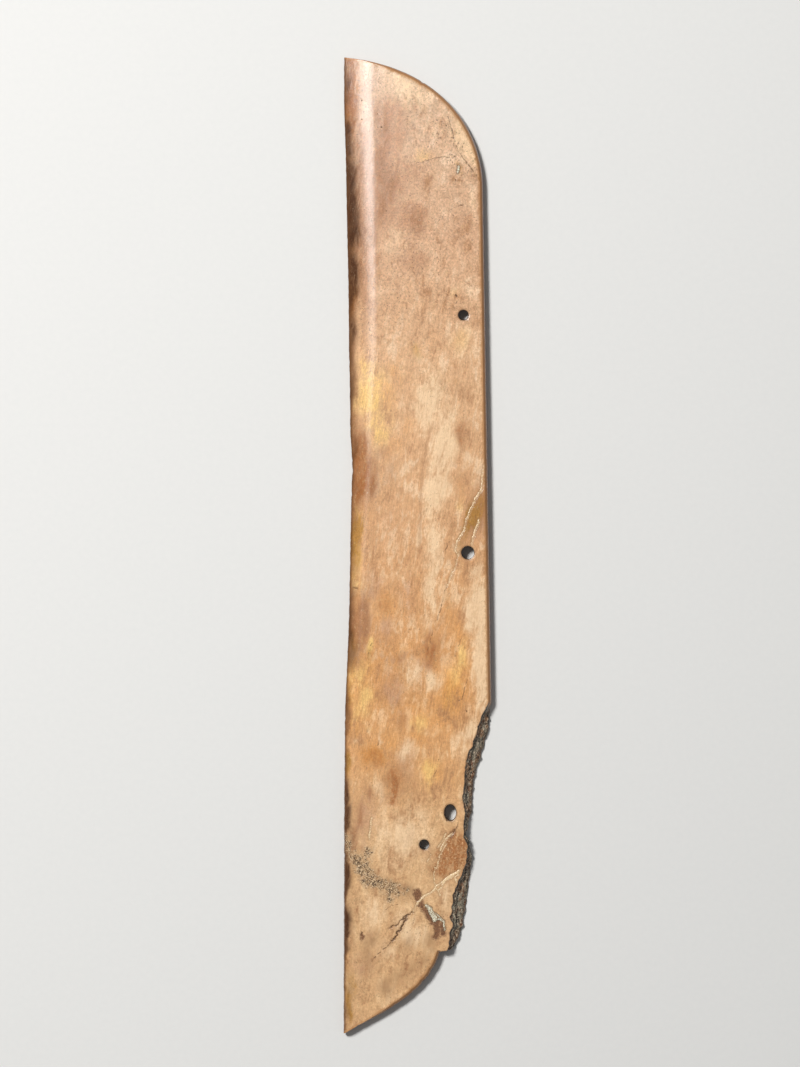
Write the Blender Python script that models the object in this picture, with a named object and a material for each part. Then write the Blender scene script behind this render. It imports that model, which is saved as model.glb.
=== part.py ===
"""A long jade blade of the late Stone Age, ground flat, drilled four times and broken at one corner.

It lies on its underside. +Y runs along the blade towards its upper end, +X runs from the cutting
edge to the back, and +Z is up. The origin is under the middle of its box, on the surface it lies on.
Sizes are in metres. A place on the blade is written as how far in it is from the straight line
between the two tips, and how far down it is from the upper tip.
"""

import bisect
import math

import bmesh
import bpy
from mathutils import Vector, noise

# Overall sizes
LENGTH = 0.500
WIDTH_UPPER = 0.0716
WIDTH_LOWER = 0.0759
THICKNESS = 0.0075

# The plan: a rounded shoulder at the upper end, a straight back, a break, and a slanting lower end
SHOULDER_DROP = 0.0679
SHOULDER_REACH = 0.0510
SHOULDER_PITCH = 0.0050
SHOULDER_TURN = 0.0300
BREAK_LENGTH = 0.1709
LOWER_END_RISE = 0.0420
LOWER_END_INSET = 0.0264
LOWER_END_BOW = (0.0060, 0.0230)
LOWER_TIP_REACH = (0.0135, 0.0078)

# The broken corner: how far below its start, how far in from the back, and how far its face leans
# back from the underside to the top
BREAK_POINTS = (
    (0.0000, 0.0000, 0.0018),
    (0.0102, 0.0010, 0.0051),
    (0.0215, 0.0031, 0.0069),
    (0.0307, 0.0059, 0.0072),
    (0.0399, 0.0087, 0.0051),
    (0.0486, 0.0096, 0.0053),
    (0.0573, 0.0101, 0.0058),
    (0.0634, 0.0118, 0.0041),
    (0.0675, 0.0131, 0.0015),
    (0.0747, 0.0110, 0.0013),
    (0.0803, 0.0097, 0.0036),
    (0.0870, 0.0107, 0.0051),
    (0.0962, 0.0120, 0.0077),
    (0.1049, 0.0128, 0.0077),
    (0.1156, 0.0148, 0.0061),
    (0.1243, 0.0177, 0.0043),
    (0.1279, 0.0200, 0.0030),
    (0.1282, 0.0235, 0.0018),
)
BREAK_JAG = 0.0007
BREAK_RELIEF = 0.0007
BREAK_GRAIN = 0.004

# The cutting edge, worn hollow by use: shares of the length and how far in the edge has gone
EDGE_WEAR = (
    (0.00, 0.0003),
    (0.05, 0.0002),
    (0.11, 0.0012),
    (0.25, 0.0025),
    (0.38, 0.0034),
    (0.42, 0.0044),
    (0.46, 0.0038),
    (0.56, 0.0029),
    (0.68, 0.0006),
    (0.80, 0.0002),
    (1.00, 0.0000),
)
BEVEL_WIDTH = ((0.0, 0.0154), (0.28, 0.0150), (0.44, 0.0092), (0.56, 0.0072), (0.72, 0.0041), (0.86, 0.0028), (1.0, 0.0028))
EDGE_BLUNTNESS = ((0.0, 0.0007), (0.30, 0.0008), (0.60, 0.0014), (0.85, 0.0028), (1.0, 0.0022))
EDGE_HEIGHT = 0.0030
BEVEL_ROUNDNESS = 1.7
UNDERSIDE_BEVEL = 0.80

# The faces
CROWN = 0.0005
END_THINNING = 0.20
BACK_CHAMFER = 0.0018
UNDERSIDE_CHAMFER = 0.0010
NARROW_SPAN = 0.030

# Four drilled holes: diameters at the top and at the underside, the lean of the drill in degrees,
# and how much longer than wide the hole has worn
HOLE_MARGIN = 0.0020
HOLE_SIDES = 40
UPPER_HOLE = {"down": 0.1323, "from_back": 0.0113, "top": 0.0049, "under": 0.0068}
MIDDLE_HOLE = {"down": 0.2537, "from_back": 0.0110, "top": 0.0063, "under": 0.0082}
CORNER_HOLE = {"up": 0.1133, "from_back": 0.0210, "top": 0.0059, "under": 0.0057, "lean": (-3.0, -3.0), "stretch": 1.36}
LOWER_HOLE = {"up": 0.0972, "from_back": 0.0345, "top": 0.0047, "under": 0.0064}

# How finely the surface is divided
SHOULDER_STATIONS = 26
BACK_STATIONS = 44
BREAK_STATIONS = 85
LOWER_END_STATIONS = 18
TOP_SHARES = (0.08, 0.2, 0.36, 0.54, 0.72, 0.88)
UNDER_SHARES = (0.12, 0.4, 0.7)
BEVEL_SHARES = (0.0, 0.2, 0.4, 0.7, 1.0)
UNDERSIDE_BEVEL_SHARES = (0.0, 0.5, 1.0)
WALL_HEIGHTS = (0.10, 0.34, 0.60, 0.86)
WALL_CHAMFERS = (0.10, 0.0, 0.0, 0.30)
WALL_LEDGES = (0.02, 0.10, 0.62, 0.86)

JADE_COLOUR = (0.62, 0.39, 0.23, 1.0)
JADE_ROUGHNESS = 0.38


def clear_scene():
    for thing in list(bpy.data.objects):
        bpy.data.objects.remove(thing)


def smooth_through(points, place):
    """The value at a place on a smooth line through points, which never swings past them."""
    places = [p for p, _ in points]
    values = [v for _, v in points]
    if place <= places[0]:
        return values[0]
    if place >= places[-1]:
        return values[-1]
    i = bisect.bisect_right(places, place) - 1
    share = (place - places[i]) / (places[i + 1] - places[i])
    eased = share * share * (3 - 2 * share)
    return values[i] + (values[i + 1] - values[i]) * (0.5 * share + 0.5 * eased)


def bezier(a, b, c, d, s):
    return (1 - s) ** 3 * a + 3 * (1 - s) ** 2 * s * b + 3 * (1 - s) * s**2 * c + s**3 * d


def even_points(curve, count):
    """Points at equal steps along a curve, its first one left out, each with its share of the way."""
    fine = [curve(k / 400) for k in range(401)]
    run = [0.0]
    for a, b in zip(fine, fine[1:]):
        run.append(run[-1] + (b - a).length)
    found = []
    for k in range(1, count + 1):
        share = k / count
        i = min(max(bisect.bisect_left(run, share * run[-1]), 1), 400)
        part = (share * run[-1] - run[i - 1]) / (run[i] - run[i - 1])
        found.append((fine[i - 1].lerp(fine[i], part), share))
    return found


def back_line(down):
    """How far in the back is at a place along the blade."""
    share = (down - SHOULDER_DROP) / (LENGTH - BREAK_LENGTH - SHOULDER_DROP)
    return WIDTH_UPPER + (WIDTH_LOWER - WIDTH_UPPER) * min(share, 1.0)


def edge_point(down):
    """A point of the cutting edge, as (in, down)."""
    return Vector((smooth_through(EDGE_WEAR, down / LENGTH), down))


def shoulder(share):
    tip = edge_point(0.0)
    end = Vector((WIDTH_UPPER, SHOULDER_DROP))
    return bezier(tip, tip + Vector((SHOULDER_REACH, SHOULDER_PITCH)), end - Vector((0.0, SHOULDER_TURN)), end, share)


def lower_end(share):
    start = Vector((WIDTH_LOWER - LOWER_END_INSET, LENGTH - LOWER_END_RISE))
    tip = edge_point(LENGTH)
    return bezier(
        start,
        start + Vector((-LOWER_END_BOW[0], LOWER_END_BOW[1])),
        tip + Vector((LOWER_TIP_REACH[0], -LOWER_TIP_REACH[1])),
        tip,
        share,
    )


def station(outer, edge_down, lean=0.0, broken=0.0):
    """One rung of the blade: its outer point, its point on the cutting edge, and how it is broken."""
    return {"outer": outer, "edge": edge_point(edge_down), "lean": lean, "broken": broken}


def break_stations():
    """The rungs that end on the break, jagged between its corners."""
    start = Vector((0.0, LENGTH - BREAK_LENGTH))
    corners = [Vector((WIDTH_LOWER - inset, start.y + below)) for below, inset, _ in BREAK_POINTS]
    leans = [lean for _, _, lean in BREAK_POINTS]
    corners.append(lower_end(0.0))
    leans.append(0.0005)
    fan_end = LENGTH - LOWER_END_RISE - 0.008
    found = []
    for k in range(1, BREAK_STATIONS + 1):
        place = k / BREAK_STATIONS * (len(corners) - 1)
        i = min(int(place), len(corners) - 2)
        share = place - i
        outer = corners[i].lerp(corners[i + 1], share)
        edge_down = start.y + (fan_end - start.y) * k / BREAK_STATIONS
        inside = min(1.0, k / 3, (BREAK_STATIONS - k) / 3)
        jag = noise.noise(Vector((outer.x / BREAK_GRAIN, outer.y / BREAK_GRAIN, 0.0)))
        outer = outer + Vector((jag * BREAK_JAG * inside, 0.0))
        lean = leans[i] + (leans[i + 1] - leans[i]) * share
        found.append(station(outer, edge_down, lean, inside))
    return found


def rungs():
    """All the rungs between the two tips, from the upper end down."""
    found = []
    for point, share in even_points(shoulder, SHOULDER_STATIONS):
        found.append(station(point, SHOULDER_DROP * share))
    back_end = LENGTH - BREAK_LENGTH
    for k in range(1, BACK_STATIONS + 1):
        down = SHOULDER_DROP + (back_end - SHOULDER_DROP) * k / BACK_STATIONS
        found.append(station(Vector((back_line(down), down)), down))
    found.extend(break_stations())
    fan_start = found[-1]["edge"].y
    for point, share in even_points(lower_end, LOWER_END_STATIONS)[:-1]:
        found.append(station(point, fan_start + (LENGTH - fan_start) * share))
    return found


def add_inward_ways(found):
    """Gives each rung the way that points into the blade, square to its outline."""
    for i, rung in enumerate(found):
        before = found[max(i - 2, 0)]["outer"]
        after = found[min(i + 2, len(found) - 1)]["outer"]
        along = (after - before).normalized()
        square = Vector((-along.y, along.x))
        rung["inward"] = square.lerp(Vector((-1.0, 0.0)), rung["broken"]).normalized()


def from_edge(place):
    return place.x - edge_point(place.y).x


def body_height(place):
    """The height of the top face away from its edges, thinner towards the two ends."""
    towards_end = abs(2 * place.y / LENGTH - 1) ** 4
    across = from_edge(place) / WIDTH_LOWER
    return THICKNESS * (1 - END_THINNING * towards_end) - CROWN * (2 * across - 1) ** 2


def bevel_rise(share):
    """How much of the bevel's height is reached at a share of its width, steep first and then flatter."""
    return 1 - (1 - min(max(share, 0.0), 1.0)) ** BEVEL_ROUNDNESS


def bluntness(place):
    return smooth_through(EDGE_BLUNTNESS, place.y / LENGTH)


def bevel_width(place):
    return smooth_through(BEVEL_WIDTH, place.y / LENGTH)


def top_height(place):
    start = EDGE_HEIGHT + bluntness(place) / 2
    return start + (body_height(place) - start) * bevel_rise(from_edge(place) / bevel_width(place))


def under_height(place):
    start = EDGE_HEIGHT - bluntness(place) / 2
    return start * (1 - bevel_rise(from_edge(place) / (bevel_width(place) * UNDERSIDE_BEVEL)))


def bevel_places(edge, arris, width, shares):
    """Places across a bevel, closed up where the blade is narrower than the bevel."""
    span = (arris - edge).length
    return [edge.lerp(arris, min(share * width / span, share * 0.5)) for share in shares]


def section(rung):
    """The closed line of points round the blade at one rung, from the edge along the underside."""
    edge, outer, inward, broken = rung["edge"], rung["outer"], rung["inward"], rung["broken"]
    slim = min(1.0, (outer - edge).length / NARROW_SPAN)
    chamfer = BACK_CHAMFER * slim
    top_arris = outer + inward * (chamfer * (1 - broken) + rung["lean"] * broken)
    under_arris = outer + inward * (UNDERSIDE_CHAMFER * slim)
    bevel = bevel_width(edge)

    under = bevel_places(edge, under_arris, bevel * UNDERSIDE_BEVEL, UNDERSIDE_BEVEL_SHARES)
    under += [under[-1].lerp(under_arris, share) for share in (*UNDER_SHARES, 1.0)]
    top = bevel_places(edge, top_arris, bevel, BEVEL_SHARES)
    top += [top[-1].lerp(top_arris, share) for share in (*TOP_SHARES, 1.0)]

    ring = [(place, under_height(place)) for place in under]
    low, high = ring[-1][1], top_height(top_arris)
    for height_share, chamfer_share, ledge_share in zip(WALL_HEIGHTS, WALL_CHAMFERS, WALL_LEDGES):
        rough = noise.noise(Vector((outer.x, outer.y, height_share * THICKNESS)) / BREAK_GRAIN)
        sound = chamfer_share * chamfer
        torn = ledge_share * rung["lean"] + rough * BREAK_RELIEF
        place = outer + inward * (sound + (torn - sound) * broken)
        ring.append((place, low + (high - low) * height_share))
    ring += [(place, top_height(place)) for place in reversed(top)]
    return ring


def blade_mesh():
    """The blade before drilling, as one closed skin round all its sections."""
    mesh = bmesh.new()
    found = rungs()
    add_inward_ways(found)
    rings = []
    for rung in found:
        rings.append([mesh.verts.new((place.x, -place.y, height)) for place, height in section(rung)])
    for before, after in zip(rings, rings[1:]):
        for k in range(len(before)):
            n = (k + 1) % len(before)
            mesh.faces.new((before[k], before[n], after[n], after[k]))
    for ring, tip_down in ((rings[0], 0.0), (rings[-1], LENGTH)):
        tip = edge_point(tip_down)
        point = mesh.verts.new((tip.x, -tip.y, EDGE_HEIGHT))
        for k in range(len(ring)):
            mesh.faces.new((ring[k], ring[(k + 1) % len(ring)], point))
    bmesh.ops.recalc_face_normals(mesh, faces=mesh.faces)
    data = bpy.data.meshes.new("jade_blade")
    mesh.to_mesh(data)
    mesh.free()
    return data


def hole_cutter(name, hole):
    """A tapered drill, longer than the blade is thick, that leans as the real one did."""
    down = hole["down"] if "down" in hole else LENGTH - hole["up"]
    reach = THICKNESS / 2 + HOLE_MARGIN
    taper = (hole["top"] - hole["under"]) / 2 / THICKNESS
    middle = (hole["top"] + hole["under"]) / 4
    bpy.ops.mesh.primitive_cone_add(
        vertices=HOLE_SIDES,
        radius1=middle - taper * reach,
        radius2=middle + taper * reach,
        depth=2 * reach,
        location=(back_line(down) - hole["from_back"], -down, THICKNESS / 2),
        rotation=[math.radians(angle) for angle in (*hole.get("lean", (0.0, 0.0)), 0.0)],
        scale=(1.0, hole.get("stretch", 1.0), 1.0),
    )
    cutter = bpy.context.object
    cutter.name = name
    cutter.hide_render = True
    cutter.display_type = "WIRE"
    return cutter


def jade():
    material = bpy.data.materials.new("jade")
    material.use_nodes = True
    shader = material.node_tree.nodes["Principled BSDF"]
    shader.inputs["Base Color"].default_value = JADE_COLOUR
    shader.inputs["Roughness"].default_value = JADE_ROUGHNESS
    shader.inputs["Metallic"].default_value = 0.0
    return material


def make_blade():
    blade = bpy.data.objects.new("jade_blade", blade_mesh())
    bpy.context.scene.collection.objects.link(blade)
    blade.data.materials.append(jade())
    holes = {
        "upper_hole_drill": UPPER_HOLE,
        "middle_hole_drill": MIDDLE_HOLE,
        "corner_hole_drill": CORNER_HOLE,
        "lower_hole_drill": LOWER_HOLE,
    }
    tray = bpy.data.objects.new("placing", None)
    bpy.context.scene.collection.objects.link(tray)
    blade.parent = tray
    for name, hole in holes.items():
        cutter = hole_cutter(name, hole)
        cutter.parent = tray
        drill = blade.modifiers.new(name, "BOOLEAN")
        drill.operation = "DIFFERENCE"
        drill.solver = "EXACT"
        drill.object = cutter
    outline = [vertex.co for vertex in blade.data.vertices]
    low, high = min(p.x for p in outline), max(p.x for p in outline)
    bottom, top = min(p.y for p in outline), max(p.y for p in outline)
    tray.location = (-(low + high) / 2, -(bottom + top) / 2, 0.0)
    blade.data.shade_smooth()
    blade.data.set_sharp_from_angle(angle=math.radians(30))
    return blade


clear_scene()
make_blade()
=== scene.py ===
# %% [markdown]
# # A long perforated jade blade
# The real object is one slab of mottled jade, ground flat, with a bevelled edge along its left side, four
# drilled holes near its back and one corner broken away. The solid model gives its exact size and form.
# This lesson grows a finer skin with the same form over that solid, so that cracks, pits and the torn
# corner can be real relief, and then finds the stone's colours.

# %% Load the fixed solid
import math

import bpy
import numpy as np
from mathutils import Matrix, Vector, noise
from mathutils.geometry import delaunay_2d_cdt


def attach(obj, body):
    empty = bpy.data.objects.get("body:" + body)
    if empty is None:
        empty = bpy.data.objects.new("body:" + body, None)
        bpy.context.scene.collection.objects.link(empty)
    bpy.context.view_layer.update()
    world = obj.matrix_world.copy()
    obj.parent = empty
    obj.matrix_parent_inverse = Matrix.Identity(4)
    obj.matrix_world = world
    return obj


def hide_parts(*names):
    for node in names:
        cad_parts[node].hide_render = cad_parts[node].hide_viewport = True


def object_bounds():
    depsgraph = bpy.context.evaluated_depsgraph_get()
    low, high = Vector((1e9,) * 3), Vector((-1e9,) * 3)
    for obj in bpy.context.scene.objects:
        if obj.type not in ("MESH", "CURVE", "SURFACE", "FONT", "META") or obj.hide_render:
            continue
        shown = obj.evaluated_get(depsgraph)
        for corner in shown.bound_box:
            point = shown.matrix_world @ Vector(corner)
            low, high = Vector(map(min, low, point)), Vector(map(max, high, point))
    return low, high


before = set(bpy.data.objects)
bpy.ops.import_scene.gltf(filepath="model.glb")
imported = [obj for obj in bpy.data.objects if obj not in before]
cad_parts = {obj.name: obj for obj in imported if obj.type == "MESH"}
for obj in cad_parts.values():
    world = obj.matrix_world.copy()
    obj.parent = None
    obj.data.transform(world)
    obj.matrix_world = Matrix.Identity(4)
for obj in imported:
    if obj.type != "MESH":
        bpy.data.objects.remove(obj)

MM = 0.001
solid_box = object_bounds()
print("solid from", tuple(solid_box[0]), "to", tuple(solid_box[1]))

# %% [markdown]
# ## The blade's sizes
# Every size below is in millimetres, as on the solid. A place is written as how far in it is from the
# straight line between the two tips, and how far down it is from the upper tip.

# %% Sizes in millimetres
LENGTH = 500.0
WIDTH_UPPER = 71.6
WIDTH_LOWER = 75.9
THICKNESS = 7.5
SHOULDER_DROP = 67.9
SHOULDER_REACH = 51.0
SHOULDER_PITCH = 5.0
SHOULDER_TURN = 30.0
BREAK_LENGTH = 170.9
LOWER_END_RISE = 42.0
LOWER_END_INSET = 26.4
LOWER_END_BOW = (-6.0, 23.0)
LOWER_TIP_REACH = (13.5, -7.8)
EDGE_HEIGHT = 3.0
BEVEL_ROUNDNESS = 1.7
UNDERSIDE_BEVEL = 0.8
CROWN = 0.5
END_THINNING = 0.2
BACK_CHAMFER = 1.8
UNDERSIDE_CHAMFER = 1.0
NARROW_SPAN = 30.0
LOWER_FAN_RISE = 8.0

# %% Sizes that change along the blade, as (share of the length, millimetres)
EDGE_WEAR = ((0, 0.3), (0.05, 0.2), (0.11, 1.2), (0.25, 2.5), (0.38, 3.4), (0.42, 4.4), (0.46, 3.8),
             (0.56, 2.9), (0.68, 0.6), (0.8, 0.2), (1, 0))
BEVEL_WIDTH = ((0, 15.4), (0.28, 15.0), (0.44, 9.2), (0.56, 7.2), (0.72, 4.1), (0.86, 2.8), (1, 2.8))
EDGE_BLUNTNESS = ((0, 0.7), (0.3, 0.8), (0.6, 1.4), (0.85, 2.8), (1, 2.2))


def smooth_through(points, place):
    """The value at each place on an eased line through the points."""
    places, values = np.array(points, float).T
    i = np.clip(np.searchsorted(places, place, side="right") - 1, 0, len(places) - 2)
    share = np.clip((place - places[i]) / (places[i + 1] - places[i]), 0, 1)
    eased = share * share * (3 - 2 * share)
    return values[i] + (values[i + 1] - values[i]) * (share + eased) / 2


def soft_step(value, low, high):
    """0 below low, 1 above high, and a smooth rise between them."""
    share = np.clip((value - low) / (high - low), 0, 1)
    return share * share * (3 - 2 * share)


# %% [markdown]
# ## Uneven stone
# Nothing ground by hand is even. A lattice of seeded random numbers, blended smoothly between its
# corners, gives a cloud of any size, and the same cloud on each run.

# %% Seeded clouds
LATTICE = np.random.default_rng(7).uniform(-1, 1, (48, 48, 48))


def cloud(places, size, shift=0.0):
    """A smooth random value from -1 to 1 at each place, with blobs about one size across."""
    scaled = places / np.array(size, float) + shift
    cell = np.floor(scaled).astype(int)
    part = scaled - cell
    part = part * part * (3 - 2 * part)
    total = np.zeros(len(places))
    for corner in np.ndindex(2, 2, 2):
        at = (cell + corner) % len(LATTICE)
        weight = np.prod(np.where(np.array(corner) == 1, part, 1 - part), axis=1)
        total += weight * LATTICE[at[:, 0], at[:, 1], at[:, 2]]
    return total


def rough(places, size, shift=0.0, layers=3):
    """Clouds on clouds, each half the size and strength of the last."""
    return sum(cloud(places, np.array(size) / 2**n, shift + 9.7 * n) / 2**n for n in range(layers))


def with_height(plan, height=0.0):
    """Places in the plan as places in space."""
    return np.column_stack([plan, np.broadcast_to(height, len(plan))])


# %% [markdown]
# ## The outline
# The plan has a rounded shoulder, a straight back, the break, and a slanting lower end. Each stretch is
# sampled closely, and every sample remembers the way into the stone and how torn it is there.

# %% Places on the worn cutting edge and the back
def edge_in(down):
    """How far in the cutting edge is worn at each place down the blade."""
    return smooth_through(EDGE_WEAR, np.asarray(down) / LENGTH)


def back_in(down):
    """How far in the straight back is at each place down the blade."""
    share = (np.asarray(down) - SHOULDER_DROP) / (LENGTH - BREAK_LENGTH - SHOULDER_DROP)
    return WIDTH_UPPER + (WIDTH_LOWER - WIDTH_UPPER) * np.minimum(share, 1)


def evenly(line, step):
    """The line cut into equal lengths, and how far along it each point is."""
    run = np.concatenate([[0], np.cumsum(np.linalg.norm(np.diff(line, axis=0), axis=1))])
    share = np.linspace(0, 1, max(2, round(run[-1] / step)) + 1)
    return np.column_stack([np.interp(share * run[-1], run, line[:, k]) for k in (0, 1)]), share


def bezier(a, b, c, d):
    """A finely sampled curve from a to d, pulled towards b and c."""
    s = np.linspace(0, 1, 600)[:, None]
    a, b, c, d = (np.array(p, float) for p in (a, b, c, d))
    return (1 - s) ** 3 * a + 3 * (1 - s) ** 2 * s * b + 3 * (1 - s) * s**2 * c + s**3 * d


# %% The stretches of the outline
SOUND_STEP = 1.1
TORN_STEP = 0.36
LOWER_STEP = 0.7
upper_tip = (float(edge_in(0)), 0.0)
lower_tip = (float(edge_in(LENGTH)), LENGTH)
shoulder_end = (WIDTH_UPPER, SHOULDER_DROP)
break_start = LENGTH - BREAK_LENGTH
lower_start = (WIDTH_LOWER - LOWER_END_INSET, LENGTH - LOWER_END_RISE)
lower_fan = LENGTH - LOWER_END_RISE - LOWER_FAN_RISE

shoulder, shoulder_share = evenly(bezier(
    upper_tip,
    (upper_tip[0] + SHOULDER_REACH, SHOULDER_PITCH),
    (shoulder_end[0], shoulder_end[1] - SHOULDER_TURN),
    shoulder_end,
), SOUND_STEP)
back_down = np.linspace(SHOULDER_DROP, break_start, round((break_start - SHOULDER_DROP) / SOUND_STEP) + 1)
back = np.column_stack([back_in(back_down), back_down])
lower_end, lower_share = evenly(bezier(
    lower_start,
    (lower_start[0] + LOWER_END_BOW[0], lower_start[1] + LOWER_END_BOW[1]),
    (lower_tip[0] + LOWER_TIP_REACH[0], lower_tip[1] + LOWER_TIP_REACH[1]),
    lower_tip,
), LOWER_STEP)
print("shoulder, back, lower end:", len(shoulder), len(back), len(lower_end), "samples")

# %% The broken corner, as (below its start, in from the back, how far its face leans back to the top)
BREAK_POINTS = np.array((
    (0.0, 0.0, 1.8), (10.2, 1.0, 5.1), (21.5, 3.1, 6.9), (30.7, 5.9, 7.2), (39.9, 8.7, 5.1),
    (48.6, 9.6, 5.0), (57.3, 10.1, 4.3), (63.4, 11.8, 2.4), (67.5, 13.1, 1.3), (74.7, 11.0, 1.9),
    (80.3, 9.7, 3.2), (87.0, 10.7, 4.2), (96.2, 12.0, 7.3), (104.9, 12.8, 7.7), (115.6, 14.8, 6.1),
    (124.3, 17.7, 4.3), (127.9, 20.0, 3.0), (128.2, 23.5, 1.8), (128.9, 26.4, 0.5),
))
BREAK_JAG = 0.7
BREAK_GRAIN = 4.0
SOLID_BREAK_STATIONS = 85
BREAK_FADE = 3
stops = np.arange(len(BREAK_POINTS))
torn_line = np.column_stack([WIDTH_LOWER - BREAK_POINTS[:, 1], break_start + BREAK_POINTS[:, 0]])
torn_run = np.linalg.norm(np.diff(torn_line, axis=0), axis=1)
torn_stop = np.concatenate([
    i + np.arange(math.ceil(run / TORN_STEP)) / math.ceil(run / TORN_STEP) for i, run in enumerate(torn_run)
])[1:]
torn = np.column_stack([np.interp(torn_stop, stops, torn_line[:, k]) for k in (0, 1)])
torn_lean = np.interp(torn_stop, stops, BREAK_POINTS[:, 2])
torn_share = torn_stop / stops[-1]
torn_weight = np.clip(np.minimum(torn_share, 1 - torn_share) * SOLID_BREAK_STATIONS / BREAK_FADE, 0, 1)
torn_jag = np.array([noise.noise(Vector((x, y, 0)) / BREAK_GRAIN) for x, y in torn])
torn[:, 0] += torn_jag * BREAK_JAG * torn_weight
print("break:", len(torn), "samples")

# %% [markdown]
# ## Chips on the rim
# The polished rim has lost small flakes: one on the shoulder, a row of tiny ones along the lower end, and
# nicks on the cutting edge. Each is a bite into the outline, with its place, its half width and its depth.

# %% Bites out of the outline
CHIPS = (
    (40.3, 13.3, 1.1, 0.7), (43.2, 15.8, 0.8, 0.6), (49.6, 20.4, 0.6, 0.3), (29.5, 7.4, 0.7, 0.2),
    (36.6, 478.9, 1.2, 0.5), (41.2, 473.6, 1.0, 0.4), (27.4, 486.2, 1.3, 0.5), (31.6, 483.2, 0.8, 0.4),
    (17.2, 492.6, 1.0, 0.4), (22.4, 489.5, 0.8, 0.3), (45.2, 467.1, 0.9, 0.4), (8.2, 496.4, 0.9, 0.4),
    (4.4, 212.0, 1.6, 0.35), (4.2, 206.5, 0.8, 0.25), (3.8, 224.0, 1.0, 0.25), (2.4, 316.0, 1.2, 0.25),
    (0.3, 402.0, 1.6, 0.3), (0.2, 408.5, 0.8, 0.25), (0.2, 436.0, 1.1, 0.2), (0.6, 339.0, 0.9, 0.2),
)


def bitten(places):
    """How deep the rim is chipped at each place."""
    depth = np.zeros(len(places))
    for inward, down, half_width, bite in CHIPS:
        gap = np.linalg.norm(places - (inward, down), axis=1) / half_width
        depth = np.maximum(depth, bite * (1 - soft_step(gap, 0.3, 1.5)))
    return depth


# %% Join the stretches into one closed line round the blade
left_down = np.linspace(LENGTH, 0, round(LENGTH / SOUND_STEP) + 1)
left = np.column_stack([edge_in(left_down), left_down])
stretches = [shoulder[1:], back[1:], torn, lower_end[:-1], left]
outer = np.vstack(stretches)
kind = np.repeat(np.arange(5), [len(s) for s in stretches])
weight = np.concatenate([np.zeros(len(s)) if s is not torn else torn_weight for s in stretches])
lean = np.concatenate([np.zeros(len(s)) if s is not torn else torn_lean for s in stretches])
on_edge = (kind == 4).astype(float)
fan_down = np.concatenate([
    SHOULDER_DROP * shoulder_share[1:],
    back_down[1:],
    break_start + (lower_fan - break_start) * torn_share,
    lower_fan + (LENGTH - lower_fan) * lower_share[:-1],
    left_down,
])
span = np.hypot(outer[:, 0] - edge_in(fan_down), outer[:, 1] - fan_down)
slim = np.clip(span / NARROW_SPAN, 0, 1)
print("closed line:", len(outer), "stations")

# %% The way into the stone at each station
TIP_TURN = 1.5
SMOOTHED = 3
right = kind < 4
heading = np.empty_like(outer)
for part in (right, ~right):
    ahead = np.gradient(outer[part], axis=0)
    padded = np.pad(ahead, ((SMOOTHED, SMOOTHED), (0, 0)), mode="edge")
    heading[part] = sum(padded[k:k + len(ahead)] for k in range(2 * SMOOTHED + 1))
heading /= np.linalg.norm(heading, axis=1)[:, None]
square = np.column_stack([-heading[:, 1], heading[:, 0]])
inward = square * (1 - weight[:, None]) + np.array((-1.0, 0.0)) * weight[:, None]
inward[~right] = np.column_stack([
    np.ones(len(left)), np.exp(-left_down / TIP_TURN) - np.exp((left_down - LENGTH) / TIP_TURN),
])
inward /= np.linalg.norm(inward, axis=1)[:, None]

# %% [markdown]
# ## The two faces
# The top face is gently crowned and falls away to the cutting edge in a convex bevel, which is what
# catches the long highlight. The underside is flat, because the blade lies on it, with a narrower bevel.

# %% Heights of the ground faces
def from_edge(plan):
    """How far in from the cutting edge each place is."""
    return plan[:, 0] - edge_in(plan[:, 1])


def bevel_width(plan):
    """How wide the bevel is at each place."""
    return smooth_through(BEVEL_WIDTH, plan[:, 1] / LENGTH)


def bluntness(plan):
    """How thick the cutting edge is at each place."""
    return smooth_through(EDGE_BLUNTNESS, plan[:, 1] / LENGTH)


def bevel_rise(share):
    """The share of its height that a convex bevel has risen at a share of its width."""
    return 1 - (1 - np.clip(share, 0, 1)) ** BEVEL_ROUNDNESS


def top_height(plan):
    """The ground height of the top face."""
    towards_end = np.abs(2 * plan[:, 1] / LENGTH - 1) ** 4
    crown = CROWN * (2 * from_edge(plan) / WIDTH_LOWER - 1) ** 2
    body = THICKNESS * (1 - END_THINNING * towards_end) - crown
    start = EDGE_HEIGHT + bluntness(plan) / 2
    return start + (body - start) * bevel_rise(from_edge(plan) / bevel_width(plan))


def under_height(plan):
    """The ground height of the underside, 0 inside its bevel."""
    start = EDGE_HEIGHT - bluntness(plan) / 2
    return start * (1 - bevel_rise(from_edge(plan) / (bevel_width(plan) * UNDERSIDE_BEVEL)))


# %% [markdown]
# ## Marks in the stone
# Cracks filled with cream mineral, hairlines, shallow seams, an eroded groove, a crust, dark stains, pits
# and a band of pitted grey specks are each a line with a half width. One number per mark and vertex, how
# many millimetres inside it the vertex lies, then drives both the relief here and the colour later.

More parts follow.
